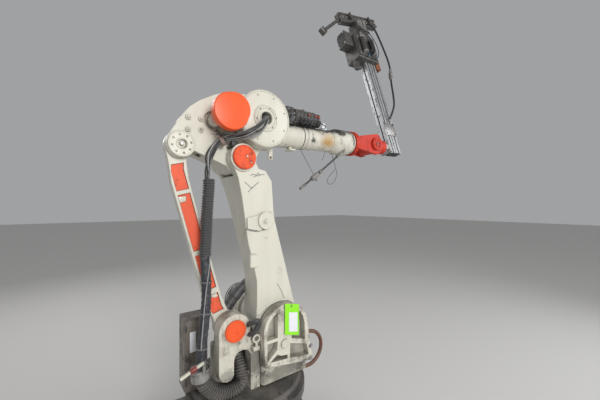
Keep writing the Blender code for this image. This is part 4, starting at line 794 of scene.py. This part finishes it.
# Castings: bosses, bolts, seams, marks and small brackets
castingLook = {
    "face": -0.139, "bossPlaces": ((-0.4296, 2.062), (-0.3567, 2.0638), (-0.4296, 1.9937), (-0.3567, 1.9995)),
    "headBoltAngle": 135, "armFace": -0.2,
    "bracket": ((0.05, 1.958), (0.125, 1.958), (0.125, 1.869), (0.093, 1.869), (0.093, 1.925), (0.05, 1.925)),
    "stepPoints": ((-0.021, 0.861), (0.021, 0.893), (0.08, 0.914), (0.137, 0.923), (0.196, 0.916)),
    "crack": ((0.1211, 1.039), (0.134, 1.02), (0.1463, 0.9987), (0.1554, 0.9855), (0.164, 0.96),
        (0.1812, 0.9263)),
    "collarShadeLine": ((-0.1066, 1.4128), (-0.0702, 1.3998), (-0.0257, 1.3942), (0.0201, 1.4031), (0.0625, 1.4193)),
    "scribbles": (((-0.072, 1.746), (-0.0481, 1.7555), (-0.0275, 1.7455), (-0.0057, 1.7526), (0.0275, 1.7588)),
        ((-0.0508, 1.7361), (-0.0275, 1.7512), (-0.0212, 1.7638), (-0.0057, 1.755)),
        ((-0.1117, 1.7026), (-0.0894, 1.6863), (-0.0658, 1.6689), (-0.0302, 1.6944), (-0.0149, 1.7073)),
        ((-0.0894, 1.6403), (-0.0702, 1.6607), (-0.0508, 1.675))),
}


def plateFrom(name, outline, nearY, farY, finish, body, edge=0.0):
    # A flat outline (x, z) extruded from nearY to farY
    shape = bmesh.new()
    corners = [shape.verts.new((x, nearY, z)) for x, z in outline]
    face = shape.faces.new(corners)
    grown = bmesh.ops.extrude_face_region(shape, geom=[face])
    lifted = [item for item in grown["geom"] if isinstance(item, bmesh.types.BMVert)]
    bmesh.ops.translate(shape, vec=(0, farY - nearY, 0), verts=lifted)
    if edge:
        roundEdges(shape, shape.edges[:], edge)
    return keepMesh(name, shape, finish, body)


def drawnLine(name, points, y, radius, finish, body):
    # A scratch, a pen line or a line of painted shade: a thin bead, most of it below the surface
    return sweepTube(name, smoothRoute([(x, y, z) for x, z in points], 0.006), radius, finish, body,
        resolution=1)


def buildCastings(look):
    bosses = [((x, look["face"] + 0.002, z), near, 0.017, 0.006, 28, 0.92) for x, z in look["bossPlaces"]]
    stubSet("castingBosses", bosses, "creamPaint", "elbow_casting")
    places = [(x, look["face"] - 0.004, z) for x, z in look["bossPlaces"]]
    boltSet("castingBolts", places, near, 0.0075, 0.007, "creamDirty", "elbow_casting")
    angle = math.radians(look["headBoltAngle"])
    out = Vector((math.cos(angle), 0, math.sin(angle)))
    boltSet("headBolt", [head + out * 0.0845 + Vector((0, -0.176, 0))], out, 0.009, 0.01, "darkIron",
        "lower_arm")
    drawnLine("armStep", look["stepPoints"], look["armFace"], 0.007, "creamPaint", "lower_arm")
    drawnLine("armCrack", look["crack"], look["armFace"] + 0.0012, 0.0027, "markInkAndShade", "lower_arm")
    for number, line in enumerate(look["scribbles"]):
        drawnLine("armMark%d" % (number + 1), line, look["armFace"] + 0.0012, 0.0028, "markInkAndShade", "lower_arm")
    # Nub on the collar's boss, and a dark line below the collar painted as the collar's shade
    stages = [((0.024, -0.2285, 1.4564), near, 0.019, 0.005, 28, 0.92),
              ((0.024, -0.2325, 1.4564), near, 0.0125, 0.01, 24, 0.85)]
    stubSet("collarNub", stages, "creamPaint", "lower_arm")
    drawnLine("collarShadeLine", look["collarShadeLine"], look["armFace"] + 0.0008, 0.0034, "markInkAndShade", "lower_arm")
    # Small brackets: one under the casting, one below the upper arm's housing
    plateFrom("castingBracket", look["bracket"], -0.1375, -0.128, "creamDirty", "elbow_casting", 0.001)
    boltSet("castingBracketBolt", [(0.109, -0.1372, 1.884)], near, 0.005, 0.005, "darkIron", "elbow_casting")
    softBox("armBracketPlate", (0.362, -0.004, 1.987), (0.412, 0.075, 1.998), "creamPaint", "upper_arm",
        edge=0.0015)
    softBox("armBracketWeb", (0.374, 0.03, 1.9975), (0.398, 0.07, 2.032), "creamPaint", "upper_arm",
        edge=0.0015)


buildCastings(castingLook)
print("castings done")

# Link: notch pads over the panels, and dark lines along the panels' outlines painted as the shade of the recess
# walls
linkLook = {
    "face": -0.102, "back": -0.0935,
    "pads": (((-0.4757, 1.6065), (-0.4322, 1.613), (-0.4322, 1.5841), (-0.4649, 1.5724)),
        ((-0.305, 1.0045), (-0.2558, 1.0196), (-0.2433, 0.9987), (-0.262, 0.9935))),
}


def buildLink(look):
    for number, outline in enumerate(look["pads"]):
        plateFrom("linkPad%d" % (number + 1), outline, look["face"], look["back"], "creamPaint", "rear_link",
            0.0012)
    for number in range(1, 5):
        shape = nodeShape("link_panel_%d" % number)
        front = min(shape.faces, key=lambda face: (round(face.calc_center_median().y, 5), -face.calc_area()))
        points = [corner.co.copy() for corner in front.verts]
        shape.free()
        # A dark line round each panel: painted shade where the recess wall meets the panel
        sweepTube("panelEdge%d" % number, [*points, points[0]], 0.0021, "panelEdgeShade", "rear_link", resolution=1)


buildLink(linkLook)
print("link done")

# Swivel: bolts, hose stub, wrapped bundle, loop, eyebolt, hoop hose, box door, clamp bar, motor ribs
swivelLook = {
    "tableTop": 0.405, "boltCircle": 0.345, "boltCount": 16,
    "stub": ((-0.045, -0.06, 0.6), (-0.045, -0.115, 0.574), (-0.044, -0.155, 0.52), (-0.04, -0.175, 0.46),
        (-0.038, -0.18, 0.404)),
    "wrapped": ((-0.165, 0.005, 0.81), (-0.151, 0.005, 0.869), (-0.119, 0.005, 0.909), (-0.078, 0.005, 0.955),
        (-0.036, 0.005, 0.994), (0.012, 0.005, 1.022)),
    "loop": ((-0.072, -0.165, 0.742), (-0.083, -0.175, 0.775), (-0.0895, -0.192, 0.808),
        (-0.085, -0.222, 0.832), (-0.066, -0.245, 0.845), (-0.045, -0.249, 0.848), (-0.0405, -0.249, 0.826),
        (-0.055, -0.2475, 0.8), (-0.07, -0.238, 0.777), (-0.08, -0.215, 0.762), (-0.084, -0.192, 0.752)),
    "hoopCentre": (0.445, -0.12, 0.4777), "hoopRadius": 0.127, "hoopFrom": 139.7, "hoopTo": -131.9,
    "hoopSteps": 36,
}


def buildSwivel(look):
    places = circlePlaces((0, 0, look["tableTop"]), look["boltCircle"], look["boltCount"], 11, "Z")
    boltSet("tableBolts", places, upward, 0.009, 0.01, "darkIron", "swivel")
    places = circlePlaces((0, 0, 0.04), 0.438, 12, 15, "Z")
    boltSet("footBolts", places, upward, 0.014, 0.016, "bareSteel", "base")
    corrugated("hoseStubRibbed", look["stub"], 0.03, 0.012, 0.18, "dustyRubber", "swivel")
    spinRing("hoseStubCollar", band(0.0262, 0.0345, 0.02), facing((0.05, -0.35, -1), (-0.0435, -0.16, 0.512)),
        "creamPaint", "swivel", steps=40)
    spinRing("hoseMouthCollar", band(0.0405, 0.0515, 0.017), facing(near, (-0.126, -0.062, 0.605)),
        "creamPaint", "swivel", steps=48)
    points = smoothRoute(look["wrapped"], 0.005)
    wrapped = sweepTube("wrappedBundle", points, 0.036, "wrapCloth",
        swell=lambda n: 1 + 0.07 * (1 - (n % 10) / 9) + 0.05 * math.sin(n * 0.23), resolution=5)
    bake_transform(wrapped)
    sweepTube("sleeveLoop", smoothRoute(look["loop"], 0.006), 0.0145, "wrapCloth", "swivel", resolution=5)
    # Eyebolt between the link's bracket and the bearing bracket, on its lug
    ringPoints = circlePlaces((-0.047, -0.232, 0.732), 0.0215, 28, 0, "Y")
    sweepTube("eyeRing", [*ringPoints, ringPoints[0]], 0.007, "creamPaint", "swivel", resolution=3)
    stubSet("eyeShank", [((-0.047, -0.232, 0.682), upward, 0.008, 0.03, 16)], "creamPaint", "swivel")
    softBox("eyeLug", (-0.072, -0.244, 0.66), (-0.029, -0.2048, 0.688), "creamDirty", "swivel", edge=0.004)
    # Hoop hose beside the base, both ends in fittings
    hoopPoints = []
    for step in range(look["hoopSteps"] + 1):
        angle = math.radians(look["hoopFrom"] + (look["hoopTo"] - look["hoopFrom"]) * step / look["hoopSteps"])
        out = Vector((math.cos(angle), 0, math.sin(angle)))
        hoopPoints.append(Vector(look["hoopCentre"]) + look["hoopRadius"] * out)
    hoop = sweepTube("hoopHose", hoopPoints, 0.014, "hoseBrown", "swivel", resolution=3)
    for label, end, ahead in (("hoopFittingTop", 0, 2), ("hoopFittingLow", -1, -3)):
        along = (hoopPoints[ahead] - hoopPoints[end]).normalized()
        stubSet(label, [(hoopPoints[end] - along * 0.004, along, 0.019, 0.024, 6),
            (hoopPoints[end] + along * 0.019, along, 0.0155, 0.02, 24, 0.86)], "bareSteel", "swivel")
    # Side box: door, hinges, lock, and the pale panel
    softBox("boxDoor", (-0.407, -0.004, 0.42), (-0.283, 0.001, 0.846), "boxPaint", "swivel", edge=0.0015)
    softBox("boxPanel", (-0.386, -0.0065, 0.65), (-0.35, -0.0035, 0.776), "tagWhite", "swivel", edge=0.001)
    for number, z in enumerate((0.47, 0.62, 0.8)):
        hinge = ((-0.409, -0.006, z - 0.018), upward, 0.0055, 0.036, 14)
        stubSet("boxHinge%d" % (number + 1), [hinge], "darkIron", "swivel")
    stubSet("boxLock", [((-0.296, -0.003, 0.64), near, 0.009, 0.008, 20, 0.9)], "bareSteel", "swivel")
    # Bar of the hose clamp, with its foot and grip, then the hose's end shell and the clamp's bolt
    low, high = Vector((-0.496, -0.232, 0.6395)), Vector((-0.372, -0.232, 0.69))
    sweepTube("clampBar", [low, low.lerp(high, 0.5), high], 0.0105, "creamDirty", "swivel", resolution=3)
    sweepTube("clampBarFoot", [high, Vector((-0.366, -0.222, 0.668)), Vector((-0.366, -0.219, 0.62))], 0.0105,
        "bareSteel", "swivel", resolution=3)
    sweepTube("clampGrip", [low.lerp(high, 0.42), low.lerp(high, 0.56), low.lerp(high, 0.7)], 0.0155,
        "fittingRed", "swivel", swell=lambda n: (0.85, 1.05, 0.9)[n], resolution=4)
    spinRing("hoseEndShell", [(0.0486, 0), (0.0535, 0.001), (0.0555, 0.012), (0.0535, 0.022), (0.0535, 0.046),
        (0.0486, 0.047)], facing((-0.1, 0.05, 1), (-0.3665, -0.1665, 0.5625)), "bareSteel", "swivel", steps=64)
    boltSet("clampBolts", [(-0.4255, -0.165, 0.62)], (-1, 0, 0), 0.008, 0.014, "bareSteel", "swivel")
    # Shoulder motor: cooling ribs and its terminal box
    motorX, motorZ, ribSpacing = 0.169, 0.75, 0.03
    for number in range(7):
        spinRing("motorRib%d" % (number + 1), band(0.124, 0.1285, 0.01, 0.002),
            facing(far, (motorX, 0.335 + number * ribSpacing, motorZ)), "darkIron", "swivel", steps=64)
    softBox("motorTerminalBox", (0.285, 0.42, 0.7), (0.345, 0.54, 0.8), "darkIron", "swivel", edge=0.006)
    boltSet("motorFlangeBolts", circlePlaces((motorX, 0.2905, motorZ), 0.148, 6, 30), far, 0.009, 0.01,
        "bareSteel", "swivel")


buildSwivel(swivelLook)
print("swivel done")

# Bearing bracket: cap ring and bolts; the blank tag hangs before it
tagLook = {
    "corners": ((0.1199, 0.9306), (0.2301, 0.9076), (0.2301, 0.703), (0.1199, 0.7331)),
    "panel": ((0.1506, 0.87), (0.218, 0.856), (0.218, 0.729), (0.1506, 0.746)), "face": -0.299,
}


def buildBracket(look):
    spinRing("bearingCapRing", lip(0.0165, 0.0225, 0.0008), facing(near, (0.124, -0.3035, 0.675)), "creamDirty",
        "swivel", steps=48)
    boltSet("bracketBolts", [(0.005, -0.29, 0.518), (0.33, -0.29, 0.518), (0.335, -0.29, 0.6)], near, 0.01,
        0.011, "bareSteel", "swivel")
    boltSet("farBracketBolts", [(0.02, 0.29, 0.518), (0.33, 0.29, 0.518)], far, 0.01, 0.011, "bareSteel",
        "swivel")
    face = look["face"]
    plateFrom("hangTag", look["corners"], face, face + 0.0012, "tagGreen", "swivel")
    plateFrom("hangTagPanel", look["panel"], face - 0.0006, face, "tagWhite", "swivel")
    spinRing("hangTagEye", [(0.0045, 0), (0.0075, 0.0004), (0.0075, 0.0019), (0.0045, 0.0023)],
        facing(near, (0.17, face + 0.0015, 0.906)), "bareSteel", "swivel", steps=20)
    sweepTube("hangTagTie", smoothRoute([(0.17, face - 0.0012, 0.9045), (0.1715, face + 0.001, 0.918),
        (0.173, face + 0.01, 0.931), (0.1735, -0.262, 0.9305), (0.172, -0.24, 0.929)], 0.004), 0.0012,
        "cableBlack", "swivel", resolution=1)


buildBracket(tagLook)
print("bracket and tag done")

# Valve bank on the upper arm: slices, fittings and air lines; connector tower beside it
valveLook = {
    "start": 0.425, "pitch": 0.0345, "slices": 7, "face": 0.0, "low": 2.205, "top": 2.314, "red": (3, 5, 6),
    "plugs": ((0.337, 2.252), (0.37, 2.252), (0.337, 2.292), (0.37, 2.292)),
}


def buildValves(look):
    pick = random.Random(11)
    face, top = look["face"], look["top"]
    shape = bmesh.new()
    for number in range(look["slices"]):
        x = look["start"] + look["pitch"] * number
        end = x + look["pitch"]
        addBox(shape, (x, face - 0.006, look["low"] + 0.022), (end - 0.005, face + 0.02, top - 0.004))
        high = top + pick.uniform(0.003, 0.022)
        addBox(shape, (x + 0.004, face + 0.02, top - 0.002), (end - 0.009, face + 0.1, high))
    roundEdges(shape, shape.edges[:], 0.0012)
    keepMesh("valveSlices", shape, "darkIron", "upper_arm")
    fittings = bmesh.new()
    buttons = bmesh.new()
    for number in range(look["slices"]):
        x = look["start"] + look["pitch"] * (number + 0.43)
        addCone(fittings, (x, face - 0.005, 2.252), near, 0.0085, 0.012, 18, 0.9)
        if number in look["red"]:
            addCone(buttons, (x, face - 0.005, 2.289), near, pick.uniform(0.009, 0.0125), 0.011, 20, 0.85)
        for row in range(2):
            start = Vector((x, face - 0.014, 2.252 - row * 0.022))
            side = pick.uniform(-0.045, 0.045)
            out = pick.uniform(0.012, 0.034)
            route = routeFrom(start, ((0, 0, 0), (side * 0.2, -out * 0.7, -0.002), (side * 0.7, -out, -0.018),
                (side, -out * 0.5, -0.034)))
            route.append(Vector((x + side, face + 0.006, 2.206)))
            sweepTube("airLine%d" % (number * 2 + row + 1), smoothRoute(route, 0.005), 0.0038, "cableBlack",
                "upper_arm", resolution=1)
    keepMesh("valveFittings", fittings, "greyHousing", "upper_arm")
    keepMesh("valveButtons", buttons, "valveRed", "upper_arm")
    softBox("tubeSensor", (0.706, 0.025, 2.205), (0.76, 0.065, 2.23), "tagWhite", "forearm", edge=0.004)
    softBox("tubeSensorTop", (0.722, 0.03, 2.2285), (0.749, 0.06, 2.266), "tagWhite", "forearm", edge=0.006)
    # Connector tower: four round plugs with their leads
    softBox("connectorTower", (0.318, -0.015, 2.188), (0.388, 0.055, 2.318), "darkIron", "upper_arm",
        edge=0.004)
    plugs = []
    for x, z in look["plugs"]:
        plugs.append(((x, -0.0145, z), near, 0.0125, 0.014, 20, 0.92))
        plugs.append(((x, -0.0285, z), near, 0.0085, 0.01, 16, 0.8))
    stubSet("towerPlugs", plugs, "greyHousing", "upper_arm")
    for number, (x, z) in enumerate(look["plugs"]):
        start = Vector((x, -0.036, z))
        lean = 0.012 if number % 2 else -0.014
        route = routeFrom(start, ((0, 0, 0), (0, -0.016, -0.004), (lean * 0.4, -0.026, -0.028),
            (lean, -0.014, -0.066)))
        route.append(Vector((x + lean * 1.3, 0.012, 2.176)))
        sweepTube("towerLead%d" % (number + 1), smoothRoute(route, 0.006), 0.0045, "cableBlack", "upper_arm",
            resolution=2)


buildValves(valveLook)
print("valves done")

# Wrist: rings and bolts on the fork, hub and flange; collar bolts behind it
wristLook = {"hubFace": -0.066, "flangeReach": 0.2615, "flangeCircle": 0.052, "collarReach": 1.003}


def buildWrist(look):
    hubMatrix = facing(near, (bendPoint.x, look["hubFace"], bendPoint.z))
    spinRing("wristHubRing", lip(0.04, 0.049, 0.003, -0.002, 0.0015), hubMatrix, "wristPaint", "forearm",
        steps=64)
    nut = ((bendPoint.x, look["hubFace"] + 0.001, bendPoint.z), near, 0.018, 0.006, 6, 0.95)
    stubSet("wristHubNut", [nut], "fittingRed", "forearm")
    boltSet("wristHubBolts", circlePlaces((bendPoint.x, look["hubFace"], bendPoint.z), 0.031, 6, 15), near,
        0.0042, 0.004, "wristPaint", "forearm")
    places = circlePlaces((look["flangeReach"], 0, 0), look["flangeCircle"], 8, 22.5, "X")
    places = [wristFrame @ place for place in places]
    boltSet("flangeBolts", places, wristFrame.to_3x3() @ Vector((1, 0, 0)), 0.0045, 0.005, "bareSteel", "tool")
    collar = forearmFrame @ Matrix.Rotation(math.radians(90), 4, "Y")
    radius = 0.0935
    for number, reach in enumerate((0.78, 0.5)):
        spinRing("tubeRing%d" % (number + 1), band(radius - 0.003, radius + 0.0012, 0.006),
            collar @ Matrix.Translation((0, 0, reach)), "creamForearm", "forearm")
    # Pale rim and bolts on the collar's nose
    spinRing("collarRim", [(0.094, 1.022), (0.103, 1.023), (0.1005, 1.0375), (0.094, 1.039)], collar,
        "creamPaint", "forearm")
    shape = bmesh.new()
    for place in circlePlaces((0, 0, look["collarReach"]), 0.1065, 8, 12, "Z"):
        out = Vector((place.x, place.y, 0)).normalized() + Vector((0, 0, 0.3))
        addBolt(shape, collar @ place, collar.to_3x3() @ out, 0.0065, 0.007)
    keepMesh("collarBolts", shape, "greyHousing", "forearm")


hangLook = {
    "rod": ((0.958, 0.06, 2.03), (0.7276, 0.06, 1.8561), (0.512, 0.06, 1.7008)), "rodRadius": 0.0085,
    "knotShare": 0.33, "stayFoot": (0.7163, 0.06, 1.8478),
    "stay": ((0.5, 0.06, 2.024), (0.575, 0.06, 1.918), (0.648, 0.06, 1.814)),
    "shortWire": ((0.768, 0.06, 2.033), (0.7665, 0.06, 2.013), (0.76, 0.06, 1.992), (0.752, 0.06, 1.975),
        (0.742, 0.06, 1.952)),
    "longWire": ((0.845, 0.06, 2.032), (0.8573, 0.06, 2.003), (0.8791, 0.06, 1.953), (0.901, 0.06, 1.8905),
        (0.9154, 0.06, 1.851), (0.9043, 0.06, 1.8059), (0.8682, 0.058, 1.7597), (0.8252, 0.054, 1.745),
        (0.7903, 0.05, 1.764), (0.7987, 0.046, 1.7998), (0.8358, 0.042, 1.8417), (0.872, 0.04, 1.874)),
}


def buildHanging(look):
    # A rod clamped below the forearm, its taut stay, and two loose wires
    rod = [Vector(place) for place in look["rod"]]
    sweepTube("hangRod", smoothRoute(rod, 0.03), look["rodRadius"], "darkIron", "forearm", resolution=4)
    along = (rod[2] - rod[1]).normalized()
    knot = rod[1].lerp(rod[2], look["knotShare"])
    stayFoot = Vector(look["stayFoot"])
    fittings = [
        (knot - along * 0.036, along, 0.021, 0.072, 20), (knot - along * 0.046, along, 0.015, 0.012, 6),
        (knot + along * 0.034, along, 0.015, 0.012, 6), (knot, (-along.z, 0, along.x), 0.012, 0.04, 16),
        (rod[2] - along * 0.05, along, 0.0135, 0.062, 16, 0.8),
        (rod[0] + along * 0.012, along, 0.014, 0.045, 16),
        (stayFoot - along * 0.014, along, 0.0165, 0.026, 16, 0.9)]
    stubSet("hangRodFittings", fittings, "greyHousing", "forearm")
    sweepTube("hangStay", smoothRoute(look["stay"], 0.03), 0.0028, "cableGrey", "forearm", resolution=2)
    for label in ("shortWire", "longWire"):
        points = smoothRoute(look[label], 0.009)
        loose = sweepTube("hang" + label.capitalize(), points, 0.003, "cableGrey", "forearm", resolution=2)


buildWrist(wristLook)
buildHanging(hangLook)
print("wrist done")

# Beam: groove lips, end caps, clamp plate; gripper: cylinders, pipes, lines and fittings, crossbar, hose
beamLook = {
    "profiles": ((0.31, 0.39), (0.4, 0.48)), "half": 0.04, "low": -0.066, "high": 1.038,
    "boltHeights": (0.003, 0.213), "barTilt": 14, "barMiddle": 0.405,
    "pipes": ((0.345, 0.011), (0.372, 0.015), (0.405, 0.011), (0.436, 0.016), (0.466, 0.011)),
    "lines": ((0.322, 1.094, 0.3), (0.347, 1.112, 0.335), (0.372, 1.094, 0.36), (0.43, 1.06, 0.44)),
    "spareFitting": (0.3, 1.06, 0.3),
    "hose": ((0.56, -0.03, 1.66), (0.572, -0.06, 1.64), (0.59, -0.085, 1.59), (0.606, -0.1, 1.51),
        (0.63, -0.104, 1.391), (0.657, -0.104, 1.24), (0.676, -0.102, 1.1), (0.66, -0.1, 0.95),
        (0.606, -0.1, 0.8), (0.572, -0.1, 0.643), (0.533, -0.096, 0.5), (0.47, -0.086, 0.4),
        (0.438, -0.066, 0.345), (0.43, -0.044, 0.315)),
}


def toolPlace(a, b, h):
    return toolFrame @ Vector((a, b, h))


def toolAxis(a, b, h):
    return toolFrame.to_3x3() @ Vector((a, b, h))


def buildBeam(look):
    for number, (left, right) in enumerate(look["profiles"]):
        middle = (left + right) / 2
        lips = bmesh.new()
        dark = bmesh.new()
        for side in (-1, 1):
            face = side * look["half"]
            inner, outer = sorted((face - side * 0.002, face + side * 0.0012))
            deep, shallow = sorted((face - side * 0.012, face - side * 0.01))
            addBox(dark, (middle - 0.0065, deep, look["low"]), (middle + 0.0065, shallow, look["high"]),
                toolFrame)
            for edge in (middle - 0.0105, middle + 0.0065):
                addBox(lips, (edge, inner, look["low"]), (edge + 0.004, outer, look["high"]), toolFrame)
        keepMesh("grooveLips%d" % (number + 1), lips, "aluminium", "tool")
        keepMesh("grooveShadow%d" % (number + 1), dark, "blackRubber", "tool")
        softBox("profileCap%d" % (number + 1), (left + 0.001, -0.039, -0.0715), (right - 0.001, 0.039, -0.0685),
            "blackRubber", "tool", toolFrame, 0.001)
    places = [toolPlace((left + right) / 2, -look["half"] - 0.0005, h)
              for left, right in look["profiles"] for h in look["boltHeights"]]
    boltSet("beamBolts", places, toolAxis(*near), 0.0085, 0.009, "bareSteel", "tool")
    softBox("beamClampPlate", (0.302, -0.0475, 0.135), (0.488, -0.0415, 0.285), "bareSteel", "tool", toolFrame,
        0.002)
    places = [toolPlace(a, -0.0474, h) for a in (0.325, 0.465) for h in (0.155, 0.265)]
    boltSet("beamClampBolts", places, toolAxis(*near), 0.0065, 0.007, "darkIron", "tool")


def buildGripper(look):
    # Side plates with bolts on the block's four sides
    softBox("gripperNearPlate", (0.185, -0.0975, 1.065), (0.485, -0.0898, 1.305), "gripperIron", "tool",
        toolFrame)
    softBox("gripperFarPlate", (0.185, 0.0898, 1.065), (0.485, 0.0975, 1.305), "gripperIron", "tool", toolFrame)
    bolts = bmesh.new()
    for a in (0.205, 0.335, 0.465):
        for h in (1.085, 1.285):
            addBolt(bolts, toolPlace(a, -0.0972, h), toolAxis(*near), 0.008, 0.009)
            addBolt(bolts, toolPlace(a, 0.0972, h), toolAxis(*far), 0.008, 0.009)
    for b in (-0.045, 0.045):
        for h in (1.205, 1.335):
            addBolt(bolts, toolPlace(0.0502, b, h), toolAxis(-1, 0, 0), 0.008, 0.009)
    for b in (-0.02, 0.02):
        for h in (1.03, 1.14):
            addBolt(bolts, toolPlace(0.5798, b, h), toolAxis(1, 0, 0), 0.007, 0.008)
    keepMesh("gripperBolts", bolts, "bareSteel", "tool")
    # Two cylinders stand on the near plate, with bright end caps and rods
    barrels, ends = bmesh.new(), bmesh.new()
    up = toolAxis(*upward)
    for a in (0.255, 0.405):
        addCone(barrels, toolPlace(a, -0.121, 1.1), up, 0.026, 0.17, 32)
        for h in (1.084, 1.268):
            addCone(ends, toolPlace(a, -0.121, h), up, 0.029, 0.018, 32)
        addCone(ends, toolPlace(a, -0.121, 1.285), up, 0.008, 0.055, 16)
        addBox(ends, (a - 0.012, -0.121, 1.13), (a + 0.012, -0.096, 1.16), toolFrame)
        addBox(ends, (a - 0.012, -0.121, 1.22), (a + 0.012, -0.096, 1.25), toolFrame)
    keepMesh("gripperBarrels", barrels, "darkIron", "tool")
    keepMesh("gripperBarrelEnds", ends, "bareSteel", "tool")
    # Pipes and rods beside the neck, up to the crossbar
    pipes = []
    for a, radius in look["pipes"]:
        rise = math.tan(math.radians(look["barTilt"])) * (a - look["barMiddle"])
        b = -0.0575 - radius
        pipes.append((toolPlace(a, b, 1.318), up, radius, 0.285 + rise, 20))
        pipes.append((toolPlace(a, b, 1.305), up, radius * 1.28, 0.026, 6))
        pipes.append((toolPlace(a, b, 1.575 + rise), up, radius * 1.28, 0.022, 6))
    stubSet("neckPipes", pipes, "bareSteel", "tool")
    softBox("neckBand", (0.325, -0.0945, 1.44), (0.485, 0.064, 1.462), "darkIron", "tool", toolFrame, 0.002)
    places = [toolPlace(a, -0.0965, h) for a, h, endA in (*look["lines"], look["spareFitting"])]
    fittings = [(place, toolAxis(*near), 0.009, 0.022, 16, 0.85) for place in places]
    stubSet("gripperFittings", fittings, "fittingBlue", "tool")
    for number, (a, h, endA) in enumerate(look["lines"]):
        route = [toolPlace(*place) for place in (
            (a, -0.117, h), (a, -0.145, h + 0.004), (a + 0.003, -0.158, h + 0.05),
            ((a + endA) / 2, -0.156, h + 0.15), (endA, -0.125, 1.36), (endA, -0.098, 1.44), (endA, -0.08, 1.5))]
        sweepTube("gripperLine%d" % (number + 1), smoothRoute(route, 0.008), 0.0042, "cableBlack", "tool",
            resolution=2)
    # Toothed faces on the jaws
    teeth = bmesh.new()
    for number in range(9):
        low = 1.19 + number * 0.018
        addBox(teeth, (0.0455, -0.052, low), (0.0502, 0.052, low + 0.009), toolFrame)
    for number in range(5):
        low = 0.945 + number * 0.017
        addBox(teeth, (0.1722, -0.022, low), (0.1765, 0.022, low + 0.009), toolFrame)
    keepMesh("jawTeeth", teeth, "gripperIron", "tool")
    softBox("brownBlockLid", (0.489, -0.0435, 0.992), (0.574, -0.0398, 1.178), "brownPaint", "tool", toolFrame)
    # Crossbar: end plates, then studs, rails and sensors along it
    bar = (toolFrame @ Matrix.Translation((look["barMiddle"], 0, 1.6))
        @ Matrix.Rotation(-math.radians(look["barTilt"]), 4, "Y"))
    softBox("crossbarLowEnd", (-0.3005, -0.038, -0.003), (-0.2945, 0.038, 0.062), "bareSteel", "tool", bar)
    softBox("crossbarHighEnd", (0.3715, -0.0385, -0.003), (0.3865, 0.0352, 0.1085), "bareSteel", "tool", bar)
    studs = bmesh.new()
    out = bar.to_3x3() @ Vector((0, -1, 0))
    for a in (-0.255, -0.19, -0.09, 0.04, 0.17, 0.29, 0.365):
        addBolt(studs, bar @ Vector((a, -0.0348, 0.055)), out, 0.0095, 0.01)
    keepMesh("crossbarStuds", studs, "bareSteel", "tool")
    rails = bmesh.new()
    for low in (0.004, 0.09):
        addBox(rails, (-0.285, -0.0405, low), (0.395, -0.0345, low + 0.014), bar)
    roundEdges(rails, rails.edges[:], 0.0015)
    keepMesh("crossbarRails", rails, "gripperIron", "tool")
    sensors = bmesh.new()
    for a, low in ((-0.14, 0.02), (0.22, 0.015)):
        addCone(sensors, bar @ Vector((a, -0.062, low)), bar.to_3x3() @ Vector(upward), 0.013, 0.075, 24)
        addBox(sensors, (a - 0.015, -0.062, 0.045), (a + 0.015, -0.034, 0.065), bar)
    keepMesh("crossbarSensors", sensors, "gripperIron", "tool")
    # Hose from the crossbar down beside the beam, with its thick fitting
    points = smoothRoute([toolPlace(*place) for place in look["hose"]], 0.05)
    hose = sweepTube("toolHose", points, 0.0105, "blackRubber", "tool", resolution=4)
    along = (toolPlace(0.606, -0.1, 0.8) - toolPlace(0.66, -0.1, 0.95)).normalized()
    start = toolPlace(0.668, -0.101, 0.99)
    stages = [(start, along, 0.0175, 0.06, 6), (start + along * 0.058, along, 0.0215, 0.075, 24),
              (start + along * 0.13, along, 0.016, 0.03, 20, 0.75)]
    coupling = stubSet("toolHoseCoupling", stages, "greyHousing", "tool")
    ends = [(toolPlace(0.43, -0.0405, 0.312), toolAxis(0.06, -0.35, 0.45), 0.016, 0.022, 6),
            (toolPlace(0.556, -0.03, 1.664), toolAxis(0.12, -0.3, -0.2), 0.016, 0.024, 6)]
    stubSet("toolHoseEnds", ends, "bareSteel", "tool")


buildBeam(beamLook)
buildGripper(beamLook)
print("tool done")

# Stage: pale floor and backdrop colour, soft studio light
stageLook = {"floorSize": 60, "floorColour": (0.62, 0.61, 0.59), "sky": (0.84, 0.85, 0.87), "skyStrength": 0.42}


def setStage(look):
    shape = bmesh.new()
    bmesh.ops.create_grid(shape, x_segments=1, y_segments=1, size=look["floorSize"] / 2)
    mesh = bpy.data.meshes.new("studioFloor")
    shape.to_mesh(mesh)
    shape.free()
    floor = showObject("studioFloor", mesh)
    material = bpy.data.materials.new("studioFloor")
    material.use_nodes = True
    shader = material.node_tree.nodes["Principled BSDF"]
    shader.inputs["Base Color"].default_value = (*look["floorColour"], 1)
    shader.inputs["Roughness"].default_value = 0.85
    mesh.materials.append(material)
    world = bpy.data.worlds.new("studio")
    world.use_nodes = True
    background = world.node_tree.nodes["Background"]
    background.inputs["Color"].default_value = (*look["sky"], 1)
    background.inputs["Strength"].default_value = look["skyStrength"]
    bpy.context.scene.world = world


def addLamp(name, place, target, size, power, colour):
    data = bpy.data.lights.new(name, "AREA")
    data.size = size
    data.energy = power
    data.color = colour
    lamp = showObject(name, data)
    lamp.location = place
    lamp.rotation_euler = (Vector(target) - Vector(place)).to_track_quat("-Z", "Y").to_euler()


setStage(stageLook)
# Each lamp's place and target, size in metres, watts and colour
lamps = {
    "keyLamp": ((-0.6, -6.6, 3.4), (0.3, 0, 1.7), 2.4, 290, (1, 0.985, 0.96)),
    "fillLamp": ((3.8, -2.6, 2.8), (0.4, 0, 1.6), 3.0, 60, (0.95, 0.97, 1)),
    "rimLamp": ((-1.5, 4.0, 4.2), (0.2, 0, 1.8), 2.5, 80, (1, 1, 1)),
}
for lampName, lampValues in lamps.items():
    addLamp(lampName, *lampValues)
bpy.context.scene.view_settings.view_transform = "Standard"
print("stage set")
